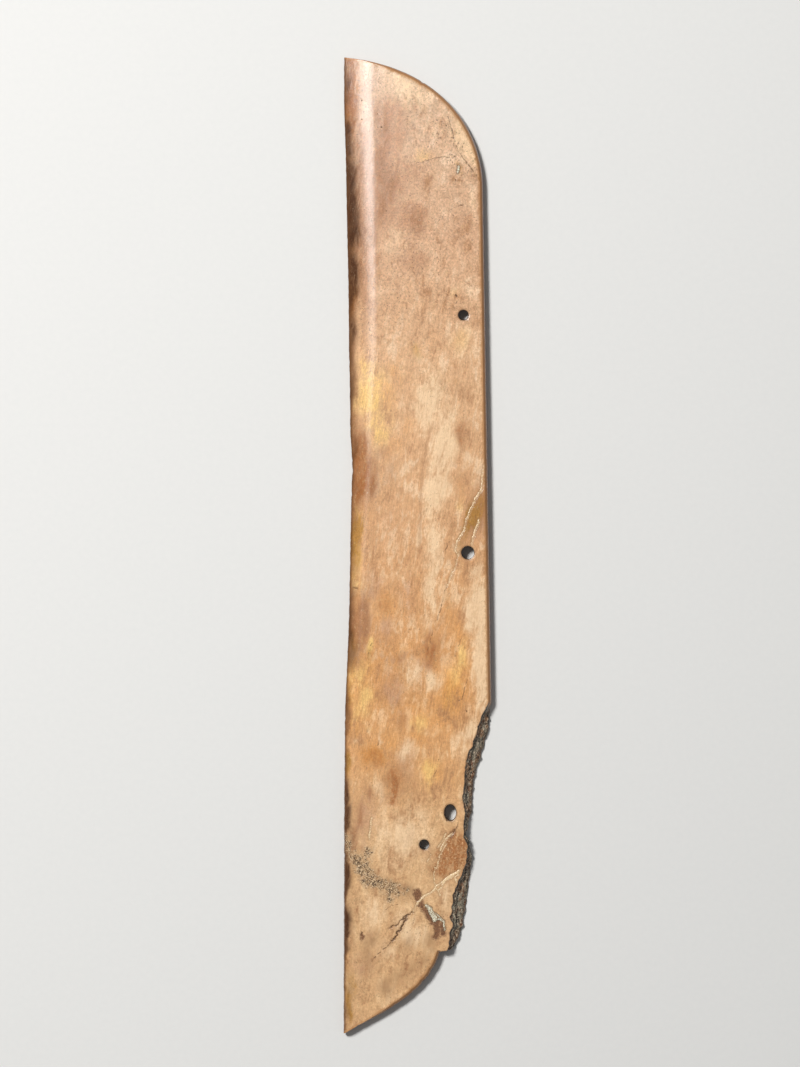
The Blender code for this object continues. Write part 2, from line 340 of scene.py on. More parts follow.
# %% Lines of the marks: (half width, then each point as in and down)
VEINS = (
    (0.34, (72.5, 208.3), (71.5, 211.4), (71, 216.5), (71, 220.1), (70, 222.1), (67.9, 225.7),
     (66.4, 228.3), (65.4, 230.8), (63.8, 234.9), (62.3, 239), (61.3, 243.1), (59.7, 245.7), (57.7, 248.7),
     (57.2, 252.3)),
    (0.14, (59.7, 252.8), (58.7, 255.4), (57.7, 259), (56.7, 262), (55.1, 265.1), (54.1, 268.2),
     (53.1, 270.7)),
    (0.12, (57.2, 252.3), (58.7, 255.4)),
    (0.2, (72.5, 208.3), (73, 213.9), (72, 218.5), (70.5, 222.6)),
    (0.3, (69.5, 236.5), (68.4, 240), (66.9, 243.6), (65.9, 247.7), (65.4, 249.9)),
    (0.75, (59.2, 416.4), (57.4, 417.6), (55, 419), (52.8, 420.2), (51.4, 421.6)),
    (0.34, (58.8, 418.4), (57.4, 419.6), (57.6, 421.6)),
    (0.42, (51.4, 421.6), (47.4, 423.8), (46.4, 425.8), (43.9, 427.9), (41.3, 428.9), (39.3, 431.4),
     (37.7, 433)),
    (0.16, (37.7, 433), (36.7, 435.5), (35.6, 437.4)),
    (0.26, (51.4, 421.6), (50.2, 424.6), (48, 426.4)),
    (0.2, (46.8, 424.2), (48.4, 426.2), (49.4, 428.4)),
    (0.4, (55.6, 397.2), (53.6, 398.7), (52.1, 400.7), (51, 403.3), (49.5, 405.9)),
    (0.2, (53, 402.4), (51.8, 404.4), (50.4, 406.6), (49.2, 409.6)),
    (0.24, (49.3, 409.4), (48.5, 413), (46.9, 415.8)),
    (0.16, (46.6, 414.4), (46.2, 418.6), (46.9, 423.4)),
    (0.18, (44.6, 407.8), (43.2, 411.4)),
    (0.16, (52.4, 397), (50.4, 401.6), (48.4, 404.2)),
    (0.24, (14.2, 389), (13.7, 395.6), (13.2, 399.7)),
)
HAIRLINES = (
    (0.18, (12.6, 404.3), (11.8, 407), (11.6, 410.9)),
    (0.12, (53.1, 270.7), (51.5, 273.8), (51, 277.9), (48, 288.1)),
    (0.15, (37, 54.8), (40.6, 54), (44.4, 52.7), (49, 51.8), (53.1, 51.7), (57.2, 51.2)),
    (0.26, (61.8, 52.7), (64.8, 56.8), (68.9, 61.9), (70.6, 64.6)),
    (0.16, (53.4, 31), (55.6, 37.9), (57, 44), (59, 48.6), (61.8, 52.7)),
    (0.1, (48, 85), (52, 80.5), (57, 77.2), (61.5, 76)), (0.1, (47, 288), (45.2, 296), (43, 303.5)),
    (0.2, (14.2, 463.2), (16.7, 460.1), (18.8, 457.5), (21.9, 455), (25, 452.4)),
    (0.14, (54.6, 248), (52, 252.6)), (0.16, (2, 270.4), (7.5, 272)),
    (0.16, (57.6, 121.2), (58.4, 123.8), (58, 126)), (0.16, (58.7, 391.5), (57.7, 394.6), (55.6, 397.2)),
    (0.14, (48.9, 359.4), (48.2, 362.4), (47.4, 365.4), (46.2, 367.6)),
    (0.1, (60.4, 297.6), (58.6, 301.4), (57.2, 306.4)), (0.1, (16.2, 297.4), (14.2, 301), (12, 308)),
    (0.1, (63.6, 318), (61.8, 323.4), (60.6, 328.8)), (0.12, (62.9, 360.2), (62.2, 364)),
    (0.12, (18.4, 349.2), (17.4, 352)), (0.1, (13.6, 340.6), (12, 345.4)),
    (0.1, (70.8, 127), (71.4, 133.4), (70.4, 137.6)), (0.12, (45, 441.6), (46.8, 446), (46.4, 451.6)),
    (0.1, (20.6, 436.8), (24.6, 434), (28.4, 433)),
)
SEAMS = (
    (0.5, (46, 187), (43, 196), (41.2, 206), (40.2, 216), (39.6, 228), (39.2, 240), (38.8, 253)),
    (0.3, (58.4, 168), (56.6, 176), (55, 184)),
)
GROOVES = (
    (0.5, (33.1, 439.1), (31, 441.4), (30.6, 444.2), (28.4, 446.8), (27.4, 449.9), (25, 452.4)),
    (0.3, (33.1, 439.1), (29.6, 441), (27, 443.8), (23.4, 445.6)), (0.34, (35.6, 437.4), (33.1, 439.1)),
)
CRUSTS = (
    (1.1, (44, 435.6), (44.6, 437.6)), (0.8, (44.6, 437.6), (46, 439.8), (46.6, 441.6)),
    (0.5, (42.6, 433.8), (44, 435.6)), (0.9, (45.6, 437.8), (47, 440.2)),
    (0.3, (47.4, 438), (49.2, 439.8), (51.6, 441.8)),
    (0.36, (46.6, 441.6), (49.4, 440.8), (51.8, 442.2), (51.8, 446.2)), (0.5, (58.9, 56.4), (58.5, 59.4)),
)
STAINS = (
    (1.7, (37.4, 427.6), (38.4, 430.8)), (1.3, (39.6, 432.6), (42.4, 437.4), (45.4, 442)),
    (1.7, (47.8, 442.6), (48.4, 446.2), (47.4, 449.6)), (0.9, (50.8, 443.6), (51, 448)),
    (0.5, (9.8, 448), (9.4, 451)), (0.5, (55, 398.6), (57, 395.4)),
)
BAND = (
    (1.6, (0.6, 400), (2.2, 405.4), (5, 409.6)), (2.8, (5, 409.6), (8.4, 413.2), (11.6, 417.4)),
    (3.8, (11.6, 417.4), (15.2, 421), (18.2, 423.4)), (2.8, (18.2, 423.4), (23, 424.6), (27.6, 425.8)),
    (1.2, (27.6, 425.8), (31.4, 428.2)), (1.2, (21.8, 425.6), (24.6, 430.4)),
    (0.8, (12, 417), (12.6, 411.4), (12.4, 405)),
)
SMUDGES = (
    (4, (24, 424), (33, 426)), (3.4, (44, 451), (45, 454)),
    (3.2, (20.2, 476), (28, 471), (36, 466), (42, 462)), (3, (33.1, 453), (33.5, 456)),
    (2.4, (46.2, 452.4), (44.6, 455)), (3.4, (12.1, 457), (12.8, 466)), (3.6, (20.5, 475.5), (22, 477)),
    (2.6, (12.4, 455.4), (16.4, 450)),
)
PITS = (
    (0.22, (52.6, 35.3), (52.8, 35.6)), (0.2, (55.6, 37.9), (55.7, 38.2)),
    (0.22, (56.1, 41.5), (56.3, 41.9)), (0.34, (57.6, 122), (57.9, 122.6)), (0.2, (9.4, 22.4), (9.6, 22.6)),
    (0.14, (17.6, 29.4), (17.8, 29.6)), (0.16, (9.4, 32), (9.6, 32.2)), (0.2, (19.6, 36), (19.8, 36.3)),
    (0.3, (40.6, 13.9), (42.4, 15.8)), (0.14, (65.9, 94), (66, 94.2)), (0.16, (22, 79), (22.1, 79.2)),
    (0.14, (44, 16), (44.2, 16.4)), (0.3, (52.8, 389.8), (53.1, 390.6)), (0.16, (63, 334.4), (63.1, 334.9)),
    (0.2, (60, 76), (60.6, 76.2)), (0.16, (57.2, 63), (57.3, 63.4)), (0.16, (55.4, 50.2), (55.6, 50.3)),
    (0.14, (59.2, 329), (59.3, 329.3)), (0.16, (9.6, 447.8), (9.7, 448.2)), (0.14, (46, 14.6), (46.3, 15)),
)

# %% How far inside a mark a place is
FAR = 9.0


def inside(lines, plan, wander=0.35, grain=2.2):
    """How many millimetres inside the nearest of these lines each place is, negative outside them."""
    drift = np.column_stack([rough(with_height(plan), grain, shift, 2) for shift in (3.3, 21.9)])
    moved = plan + drift * wander
    best = np.full(len(plan), -FAR)
    for half_width, *points in lines:
        points = np.array(points, float)
        near = np.all((plan > points.min(0) - FAR) & (plan < points.max(0) + FAR), axis=1)
        spot = moved[near]
        gap = np.full(len(spot), FAR)
        for a, b in zip(points, points[1:]):
            along = np.clip((spot - a) @ (b - a) / ((b - a) @ (b - a)), 0, 1)
            gap = np.minimum(gap, np.linalg.norm(spot - a - along[:, None] * (b - a), axis=1))
        best[near] = np.maximum(best[near], half_width - gap)
    return best


# %% [markdown]
# ## Drilled holes
# The holes were drilled with a hollow or pointed drill and sand, so their walls taper and their rims
# are softened. The one near the broken corner leans and has worn oval.

# %% The four holes
HOLES = (
    {"down": 132.3, "from_back": 11.3, "top": 4.9, "under": 6.8},
    {"down": 253.7, "from_back": 11.0, "top": 6.3, "under": 8.2},
    {"down": LENGTH - 113.3, "from_back": 21.0, "top": 5.9, "under": 5.7, "lean": 3.0, "stretch": 1.36},
    {"down": LENGTH - 97.2, "from_back": 34.5, "top": 4.7, "under": 6.4},
)
HOLE_SIDES = 72
RIM_FLARE = 0.3
UNDER_RIM_ROUND = 0.5
TOP_RIM_ROUND = 0.35


def hole_ring(hole, height):
    """Points round a hole's wall at one height."""
    share = height / THICKNESS
    radius = (hole["under"] + (hole["top"] - hole["under"]) * share) / 2
    under_rim = np.exp(-height / UNDER_RIM_ROUND)
    top_rim = np.exp(-(THICKNESS - height) / TOP_RIM_ROUND)
    radius = radius + RIM_FLARE * (under_rim + top_rim)
    lean = math.tan(math.radians(hole.get("lean", 0.0))) * (height - THICKNESS / 2)
    middle = np.array((float(back_in(hole["down"])) - hole["from_back"] - lean, hole["down"] - lean))
    turn = np.linspace(0, 2 * math.pi, HOLE_SIDES, endpoint=False)
    oval = np.column_stack([np.cos(turn), np.sin(turn) * hole.get("stretch", 1.0)])
    return middle + radius * oval


def gap_to_holes(plan, height):
    """How far each place is outside the nearest hole's rim."""
    gap = np.full(len(plan), np.inf)
    for hole in HOLES:
        ring = hole_ring(hole, height)
        middle, reach = ring.mean(0), np.ptp(ring, axis=0) / 2
        away = (plan - middle) / reach
        gap = np.minimum(gap, (np.linalg.norm(away, axis=1) - 1) * reach.min())
    return gap


# %% [markdown]
# ## Relief
# Marks are cut into the smooth height: veins lie in a shallow trough with a raised thread of mineral,
# grooves are eroded, the grey band is pitted, and the whole face undulates by hundredths of a millimetre.

# %% Depth of the marks on the top face
def top_relief(plan):
    """How far the top face stands above its ground form, mostly negative."""
    space = with_height(plan)
    vein = inside(VEINS, plan)
    relief = -0.10 * soft_step(vein, -0.6, 0.1)
    relief += 0.14 * soft_step(vein + 0.2 * cloud(space, 0.6), -0.02, 0.3)
    relief -= 0.012 * soft_step(inside(HAIRLINES, plan), -0.25, 0.1)
    relief -= (0.45 + 0.3 * cloud(space, 0.9)) * soft_step(inside(GROOVES, plan, 0.7, 1.4), -0.3, 0.5)
    relief += (0.04 + 0.2 * cloud(space, 0.6)) * soft_step(inside(CRUSTS, plan), -0.2, 0.3)
    relief -= 0.2 * soft_step(inside(STAINS, plan), -0.6, 0.8) * (0.5 + 0.5 * cloud(space, 1.2))
    pitted = soft_step(inside(BAND, plan, 1.6, 3.0), -1.6, 1.4)
    relief -= 0.22 * pitted * soft_step(rough(space, 0.9, 5.0), 0.0, 0.5)
    relief -= 0.35 * soft_step(inside(PITS, plan, 0.1), -0.1, 0.2)
    relief -= 0.04 * soft_step(inside(SEAMS, plan), -1.2, 0.5)
    relief -= 0.18 * np.exp(-np.maximum(gap_to_holes(plan, THICKNESS), 0) / 0.5)
    relief += 0.03 * rough(space, 16.0, 2.0, 2) - 0.03
    return relief


# %% [markdown]
# ## The wall round the blade
# One band of rows runs round the whole outline. It is a crisp chamfer along the back, a blunt round on
# the cutting edge, and a torn stair of ledges along the break, where the stone split in layers.

# %% Rows of the wall
ROWS = 18
rise = np.linspace(0, 1, ROWS + 1)
CHAMFER_HEIGHTS = (0, 0.10, 0.34, 0.60, 0.86, 1)
CHAMFER_SHARES = (UNDERSIDE_CHAMFER / BACK_CHAMFER, 0.10, 0, 0, 0.30, 1)
LEDGE_SHARES = (0, 0.02, 0.10, 0.62, 0.86, 1)
ROW_SHARES = (0, 0.12, 0.25, 0.55, 0.72, 0.9, 1)
ROW_HEIGHTS = (0, 0.07, 0.3, 0.7, 0.86, 0.965, 1)
ARRIS_BLUR = np.linspace(-0.02, 0.02, 5)
LAYERS = 3.0
STAIR = 0.35
sound_rise = np.interp(rise, ROW_SHARES, ROW_HEIGHTS)
blurred = [np.interp(sound_rise + shift, CHAMFER_HEIGHTS, CHAMFER_SHARES) for shift in ARRIS_BLUR]
sound_in = BACK_CHAMFER * np.mean(blurred, axis=0)
sound_in[[0, -1]] = (UNDERSIDE_CHAMFER, BACK_CHAMFER)

# %% Ledges and splinters of the torn wall
DOWN_STRETCH = 1.4
stations = len(outer)
walk = np.zeros((stations, 3))
walk[:, 0] = np.arange(stations) * TORN_STEP
wave = cloud(walk, 7.0, 4.2)
wave_fine = cloud(walk, 2.2, 14.2)
turns = LAYERS * (rise[None, :] + 0.10 * wave[:, None] + 0.03 * wave_fine[:, None])
stair = STAIR * np.sin(2 * math.pi * turns) / (2 * math.pi * LAYERS) * np.sin(math.pi * rise) ** 0.5
torn_rise = np.clip(rise + stair, 0, 1)
torn_in = lean[:, None] * np.clip(np.interp(rise, CHAMFER_HEIGHTS, LEDGE_SHARES) - stair * 1.6, 0, 1)
grain_at = np.concatenate([with_height(outer, share * THICKNESS * DOWN_STRETCH) for share in rise])
tear = rough(grain_at, (3.4, 4.0, 2.6), 31.0, 3).reshape(ROWS + 1, stations).T
hackle = 1 - 2 * np.abs(cloud(grain_at, (1.5, 2.2, 1.3), 3.0)).reshape(ROWS + 1, stations).T
torn_in += (0.3 + 0.4 * rise) * tear + 0.5 * hackle * np.sin(math.pi * rise) ** 0.7 + 0.25 - 0.5 * rise
print("torn wall leans back up to", round(float(torn_in.max()), 1), "mm")

# %% Where every row of the wall stands
round_in = 0.35 * bluntness(outer)[:, None] * (1 - np.sqrt(np.clip(1 - (2 * rise - 1) ** 2, 0, 1)))
nick = 0.10 + 0.10 * rough(with_height(outer), (3.0, 2.0, 3.0), 8.0)
as_torn, as_edge = weight[:, None], on_edge[:, None]
wall_in = (sound_in * slim[:, None] * (1 - as_torn) + torn_in * as_torn) * (1 - as_edge)
wall_in += (round_in + nick[:, None]) * as_edge
wall_in += (bitten(outer)[:, None] * (0.25 + 0.75 * rise) + 0.05) * (1 - as_torn)
wall_rise = np.where(as_torn > 0, sound_rise * (1 - as_torn) + torn_rise * as_torn, sound_rise)
wall_rise = np.where(as_edge > 0, rise, wall_rise)
wall_plan = outer[:, None, :] + inward[:, None, :] * wall_in[:, :, None]

# %% [markdown]
# ## Points over the faces
# A face needs few points where it is plain and many where a crack or rim crosses it. Squares are cut in
# four wherever a mark is near, and Blender's triangulation joins their jittered centres.

# %% The rims of one face
def rim_height(top):
    """The height at which the holes' rims lie on one face."""
    return THICKNESS if top else 0.0


def rim_line(top):
    """The outline of one face, where the wall's last or first row meets it."""
    return wall_plan[:, -1 if top else 0]


def rim_in(down, top, side):
    """How far in the rim is at each place down the blade, on the right or the left side."""
    rim = rim_line(top)[side]
    rim = rim if rim[0, 1] < rim[-1, 1] else rim[::-1]
    return np.interp(down, np.maximum.accumulate(rim[:, 1]), rim[:, 0])


def nearest(plan, line):
    """The distance from each place to the nearest point of a line."""
    return np.linalg.norm(plan[:, None] - line[None], axis=2).min(axis=1)


# %% How fine the points have to be, as (marks, millimetres off them for the finest and the next level)
FINEST = 3
CRACK_MARKS = (
    (VEINS, 0.8, 2.0), (HAIRLINES, 0.4, 1.2), (GROOVES, 1.0, 2.4), (CRUSTS, 1.0, 2.4), (PITS, 0.5, 1.2),
)
BROAD_MARKS = ((STAINS, 1.0), (BAND, 1.6))


def level_wanted(plan, top):
    """How many times a square is cut in four at each place. Only the top face has marks."""
    gap = gap_to_holes(plan, rim_height(top))
    level = (gap < 4).astype(int) + (gap < 1.2)
    to_rim = rim_in(plan[:, 1], top, right) - plan[:, 0]
    torn_here = (plan[:, 1] > break_start) & (plan[:, 1] < LENGTH - LOWER_END_RISE + 2)
    level = np.maximum(level, (to_rim < 2.5).astype(int))
    level = np.maximum(level, 2 * ((to_rim < 2.0) & torn_here))
    if not top:
        return level
    for lines, fine, middle in CRACK_MARKS:
        depth = inside(lines, plan)
        level = np.maximum(level, np.where(depth > -fine, FINEST, np.where(depth > -middle, FINEST - 1, 0)))
    for lines, reach in BROAD_MARKS:
        level = np.maximum(level, 2 * (inside(lines, plan, 1.2, 3.0) > -reach))
    level = np.maximum(level, 1 * (inside(SEAMS, plan) > -2.0))
    return np.maximum(level, (from_edge(plan) < bevel_width(plan) + 2).astype(int))


# %% Spread points over a face
COARSE = 1.9
JITTER = 0.24
RIM_CLEARANCE = 0.42
TIP_REACH = 14
spread = np.random.default_rng(11)


def clear_of_rim(plan, size, top):
    """Which places keep clear of the rim by a share of their own square."""
    down = plan[:, 1]
    edge_gap = plan[:, 0] - rim_in(down, top, ~right)
    rim_gap = rim_in(down, top, right) - plan[:, 0]
    keep = (edge_gap > 0.3 * size) & (rim_gap > 0.3 * size) & (down > 0.2) & (down < LENGTH - 0.3)
    close = np.flatnonzero(keep & ((rim_gap < 3) | (down < TIP_REACH) | (down > LENGTH - TIP_REACH)))
    for some in np.array_split(close, 40):
        keep[some] = nearest(plan[some], rim_line(top)) > RIM_CLEARANCE * size[some]
    return keep


def face_points(top):
    """Jittered points inside the rim and outside the holes."""
    across, along = np.meshgrid(np.arange(-1, WIDTH_LOWER + 2, COARSE), np.arange(-1, LENGTH + 2, COARSE))
    squares = np.column_stack([across.ravel(), along.ravel()])
    found, sizes, size = [], [], COARSE
    for level in range(FINEST + 1):
        split = level_wanted(squares, top) > level if level < FINEST else np.zeros(len(squares), bool)
        found.append(squares[~split])
        sizes.append(np.full((~split).sum(), size))
        corners = np.array(((-1, -1), (1, -1), (-1, 1), (1, 1))) * size / 4
        squares = (squares[split][:, None] + corners).reshape(-1, 2)
        size /= 2
    plan, size = np.vstack(found), np.concatenate(sizes)
    plan = plan + spread.uniform(-JITTER, JITTER, plan.shape) * size[:, None]
    keep = clear_of_rim(plan, size, top) & (gap_to_holes(plan, rim_height(top)) > 0.35 * size)
    return plan[keep]


# %% Join the points into triangles
def triangulated(top):
    """All points of one face, rim and hole rims first, and its triangles."""
    loops = [rim_line(top)] + [hole_ring(hole, rim_height(top)) for hole in HOLES]
    points = np.vstack(loops + [face_points(top)])
    edges, first = [], 0
    for loop in loops:
        count = len(loop)
        edges += [(first + k, first + (k + 1) % count) for k in range(count)]
        first += count
    made = delaunay_2d_cdt([Vector(p) for p in points], edges, [], 2, 1e-6)
    if any(len(source) != 1 for source in made[3]):
        raise ValueError("the rim crosses itself")
    source = np.array([origin[0] for origin in made[3]])
    triangles = source[np.array(made[2])]
    ring = (triangles - stations) // HOLE_SIDES
    in_hole = (ring[:, 0] >= 0) & (ring[:, 0] < len(HOLES)) & (ring == ring[:, :1]).all(axis=1)
    return points, triangles[~in_hole]


top_plan, top_faces = triangulated(True)
under_plan, under_faces = triangulated(False)
print("top face:", len(top_plan), "points; underside:", len(under_plan), "points")

# %% [markdown]
# ## Sewing the skin
# Faces, wall and hole walls share their rim points, so the skin is closed and watertight with no seams.

# %% Heights of the two faces and the rows between them
solid_top = solid_box[1].z / MM
top_z = np.minimum(top_height(top_plan) + top_relief(top_plan), solid_top)
under_ground = under_height(under_plan)
under_swell = 0.05 * (1 + rough(with_height(under_plan), 22.0, 6.0, 2)) / 2
under_z = np.maximum(under_ground + under_swell, 0)
under_z[under_ground < 0.01] *= 0.5
low, high = under_z[:stations], top_z[:stations]
wall_z = low[:, None] + (high - low)[:, None] * wall_rise
wall_middle = np.dstack([wall_plan, wall_z])[:, 1:-1]

# %% Rows down each hole
HOLE_ROWS = 14
RING_DEPTH = 0.012
RING_PITCH = 34
WALL_WEAR = 0.02
hole_rise = (1 - np.cos(np.linspace(0, math.pi, HOLE_ROWS + 1))) / 2


def hole_rows(number):
    """The rows inside one hole's wall, from the underside up, with the faint rings that drilling leaves."""
    first = stations + number * HOLE_SIDES
    loop_low, loop_high = under_z[first:first + HOLE_SIDES], top_z[first:first + HOLE_SIDES]
    rows = []
    for share in hole_rise[1:-1]:
        z = loop_low + (loop_high - loop_low) * share
        ring = hole_ring(HOLES[number], share * THICKNESS)
        middle = ring.mean(0)
        wear = WALL_WEAR * cloud(np.column_stack([ring, z]), 1.5)[:, None]
        worn = 1 + RING_DEPTH * math.sin(share * RING_PITCH) + wear
        rows.append(np.column_stack([middle + (ring - middle) * worn, z]))
    return np.array(rows)


hole_middles = [hole_rows(n) for n in range(len(HOLES))]

# %% Number the points and make the faces between rows
parts = [np.column_stack([top_plan, top_z]), np.column_stack([under_plan, under_z])]
parts += [wall_middle.transpose(1, 0, 2).reshape(-1, 3)] + [m.reshape(-1, 3) for m in hole_middles]
starts = np.concatenate([[0], np.cumsum([len(p) for p in parts])])
skin_points = np.vstack(parts)


def band(rim_first, middle_first, around, rows, corners):
    """Four-sided faces of a closed band, with the station and row of each corner."""
    i, j = (a.ravel()[:, None] + steps for a, steps in zip(
        np.meshgrid(np.arange(around), np.arange(rows)), np.array(corners).T,
    ))
    station = i % around
    inner = middle_first + (j - 1) * around + station
    faces = np.where(j == 0, starts[1] + rim_first + station, np.where(j == rows, rim_first + station, inner))
    return faces, np.dstack([i, j])


OUTWARD = ((0, 0), (0, 1), (1, 1), (1, 0))
INWARD = OUTWARD[::-1]
wall_faces, wall_at = band(0, starts[2], stations, ROWS, OUTWARD)
hole_faces = [
    band(stations + n * HOLE_SIDES, starts[3 + n], HOLE_SIDES, HOLE_ROWS, INWARD) for n in range(len(HOLES))
]

# %% [markdown]
# ## A flat map for the bake
# The blade is long and slim, so its two faces lie side by side, stretched to the full height of the map,
# with the wall as two ribbons beside them and the hole walls as four small squares.

# %% The map's places
MARGIN = 0.004
TOP_SPAN = (0.0, 0.43)
UNDER_SPAN = (0.43, 0.72)
BACK_SPAN = (0.72, 0.84)
EDGE_SPAN = (0.84, 0.89)
HOLE_SPAN = (0.89, 1.0)


def laid(across_span, across, along, along_span=(0.0, 1.0)):
    """Map places for shares across and along one region."""
    sides = []
    for (low, high), share in ((across_span, across), (along_span, along)):
        sides.append(low + MARGIN + (high - low - 2 * MARGIN) * share)
    return np.stack(sides, axis=-1)


def plan_map(span, plan):
    """Map places of one face, as seen from above."""
    return laid(span, plan[:, 0] / WIDTH_LOWER, 1 - plan[:, 1] / LENGTH)


run = np.concatenate([[0], np.cumsum(np.linalg.norm(np.diff(outer, axis=0, append=outer[:1]), axis=1))])
right_count = int(right.sum())
ribbon_end = run[right_count]
at_back = wall_at[:, :, 0].min(axis=1, keepdims=True) < right_count
along = run[wall_at[:, :, 0]]
rows_share = wall_at[:, :, 1] / ROWS
wall_map = np.where(
    at_back[:, :, None],
    laid(BACK_SPAN, rows_share, np.clip(1 - along / ribbon_end, 0, 1)),
    laid(EDGE_SPAN, rows_share, np.clip((along - ribbon_end) / (run[-1] - ribbon_end), 0, 1)),
)
hole_map = [
    laid(HOLE_SPAN, at[:, :, 0] / HOLE_SIDES, at[:, :, 1] / HOLE_ROWS, (n / len(HOLES), (n + 1) / len(HOLES)))
    for n, (_, at) in enumerate(hole_faces)
]
top_map = plan_map(TOP_SPAN, top_plan)
under_map = plan_map(UNDER_SPAN, under_plan)

# %% The piece itself
SHARP_ANGLE = 38
top_faces = top_faces[:, ::-1]
faces = [top_faces, under_faces + starts[1], wall_faces] + [f for f, _ in hole_faces]
corner_maps = [top_map[top_faces], under_map[under_faces], wall_map] + hole_map
places = (skin_points * (1, -1, 1) + (-WIDTH_LOWER / 2, LENGTH / 2, 0)) * MM
skin = bpy.data.meshes.new("jade_blade_skin")
skin.from_pydata(places.tolist(), [], [face for group in faces for face in group.tolist()])
flat_map = skin.uv_layers.new(name="OFBake")
flat_map.data.foreach_set("uv", np.concatenate([m.reshape(-1) for m in corner_maps]))
skin.shade_smooth()
skin.set_sharp_from_angle(angle=math.radians(SHARP_ANGLE))
blade = bpy.data.objects.new("jade_blade_stone", skin)
bpy.context.scene.collection.objects.link(blade)
triangles = sum(len(group) * (group.shape[1] - 2) for group in faces)
print("skin:", len(places), "points,", triangles, "triangles")
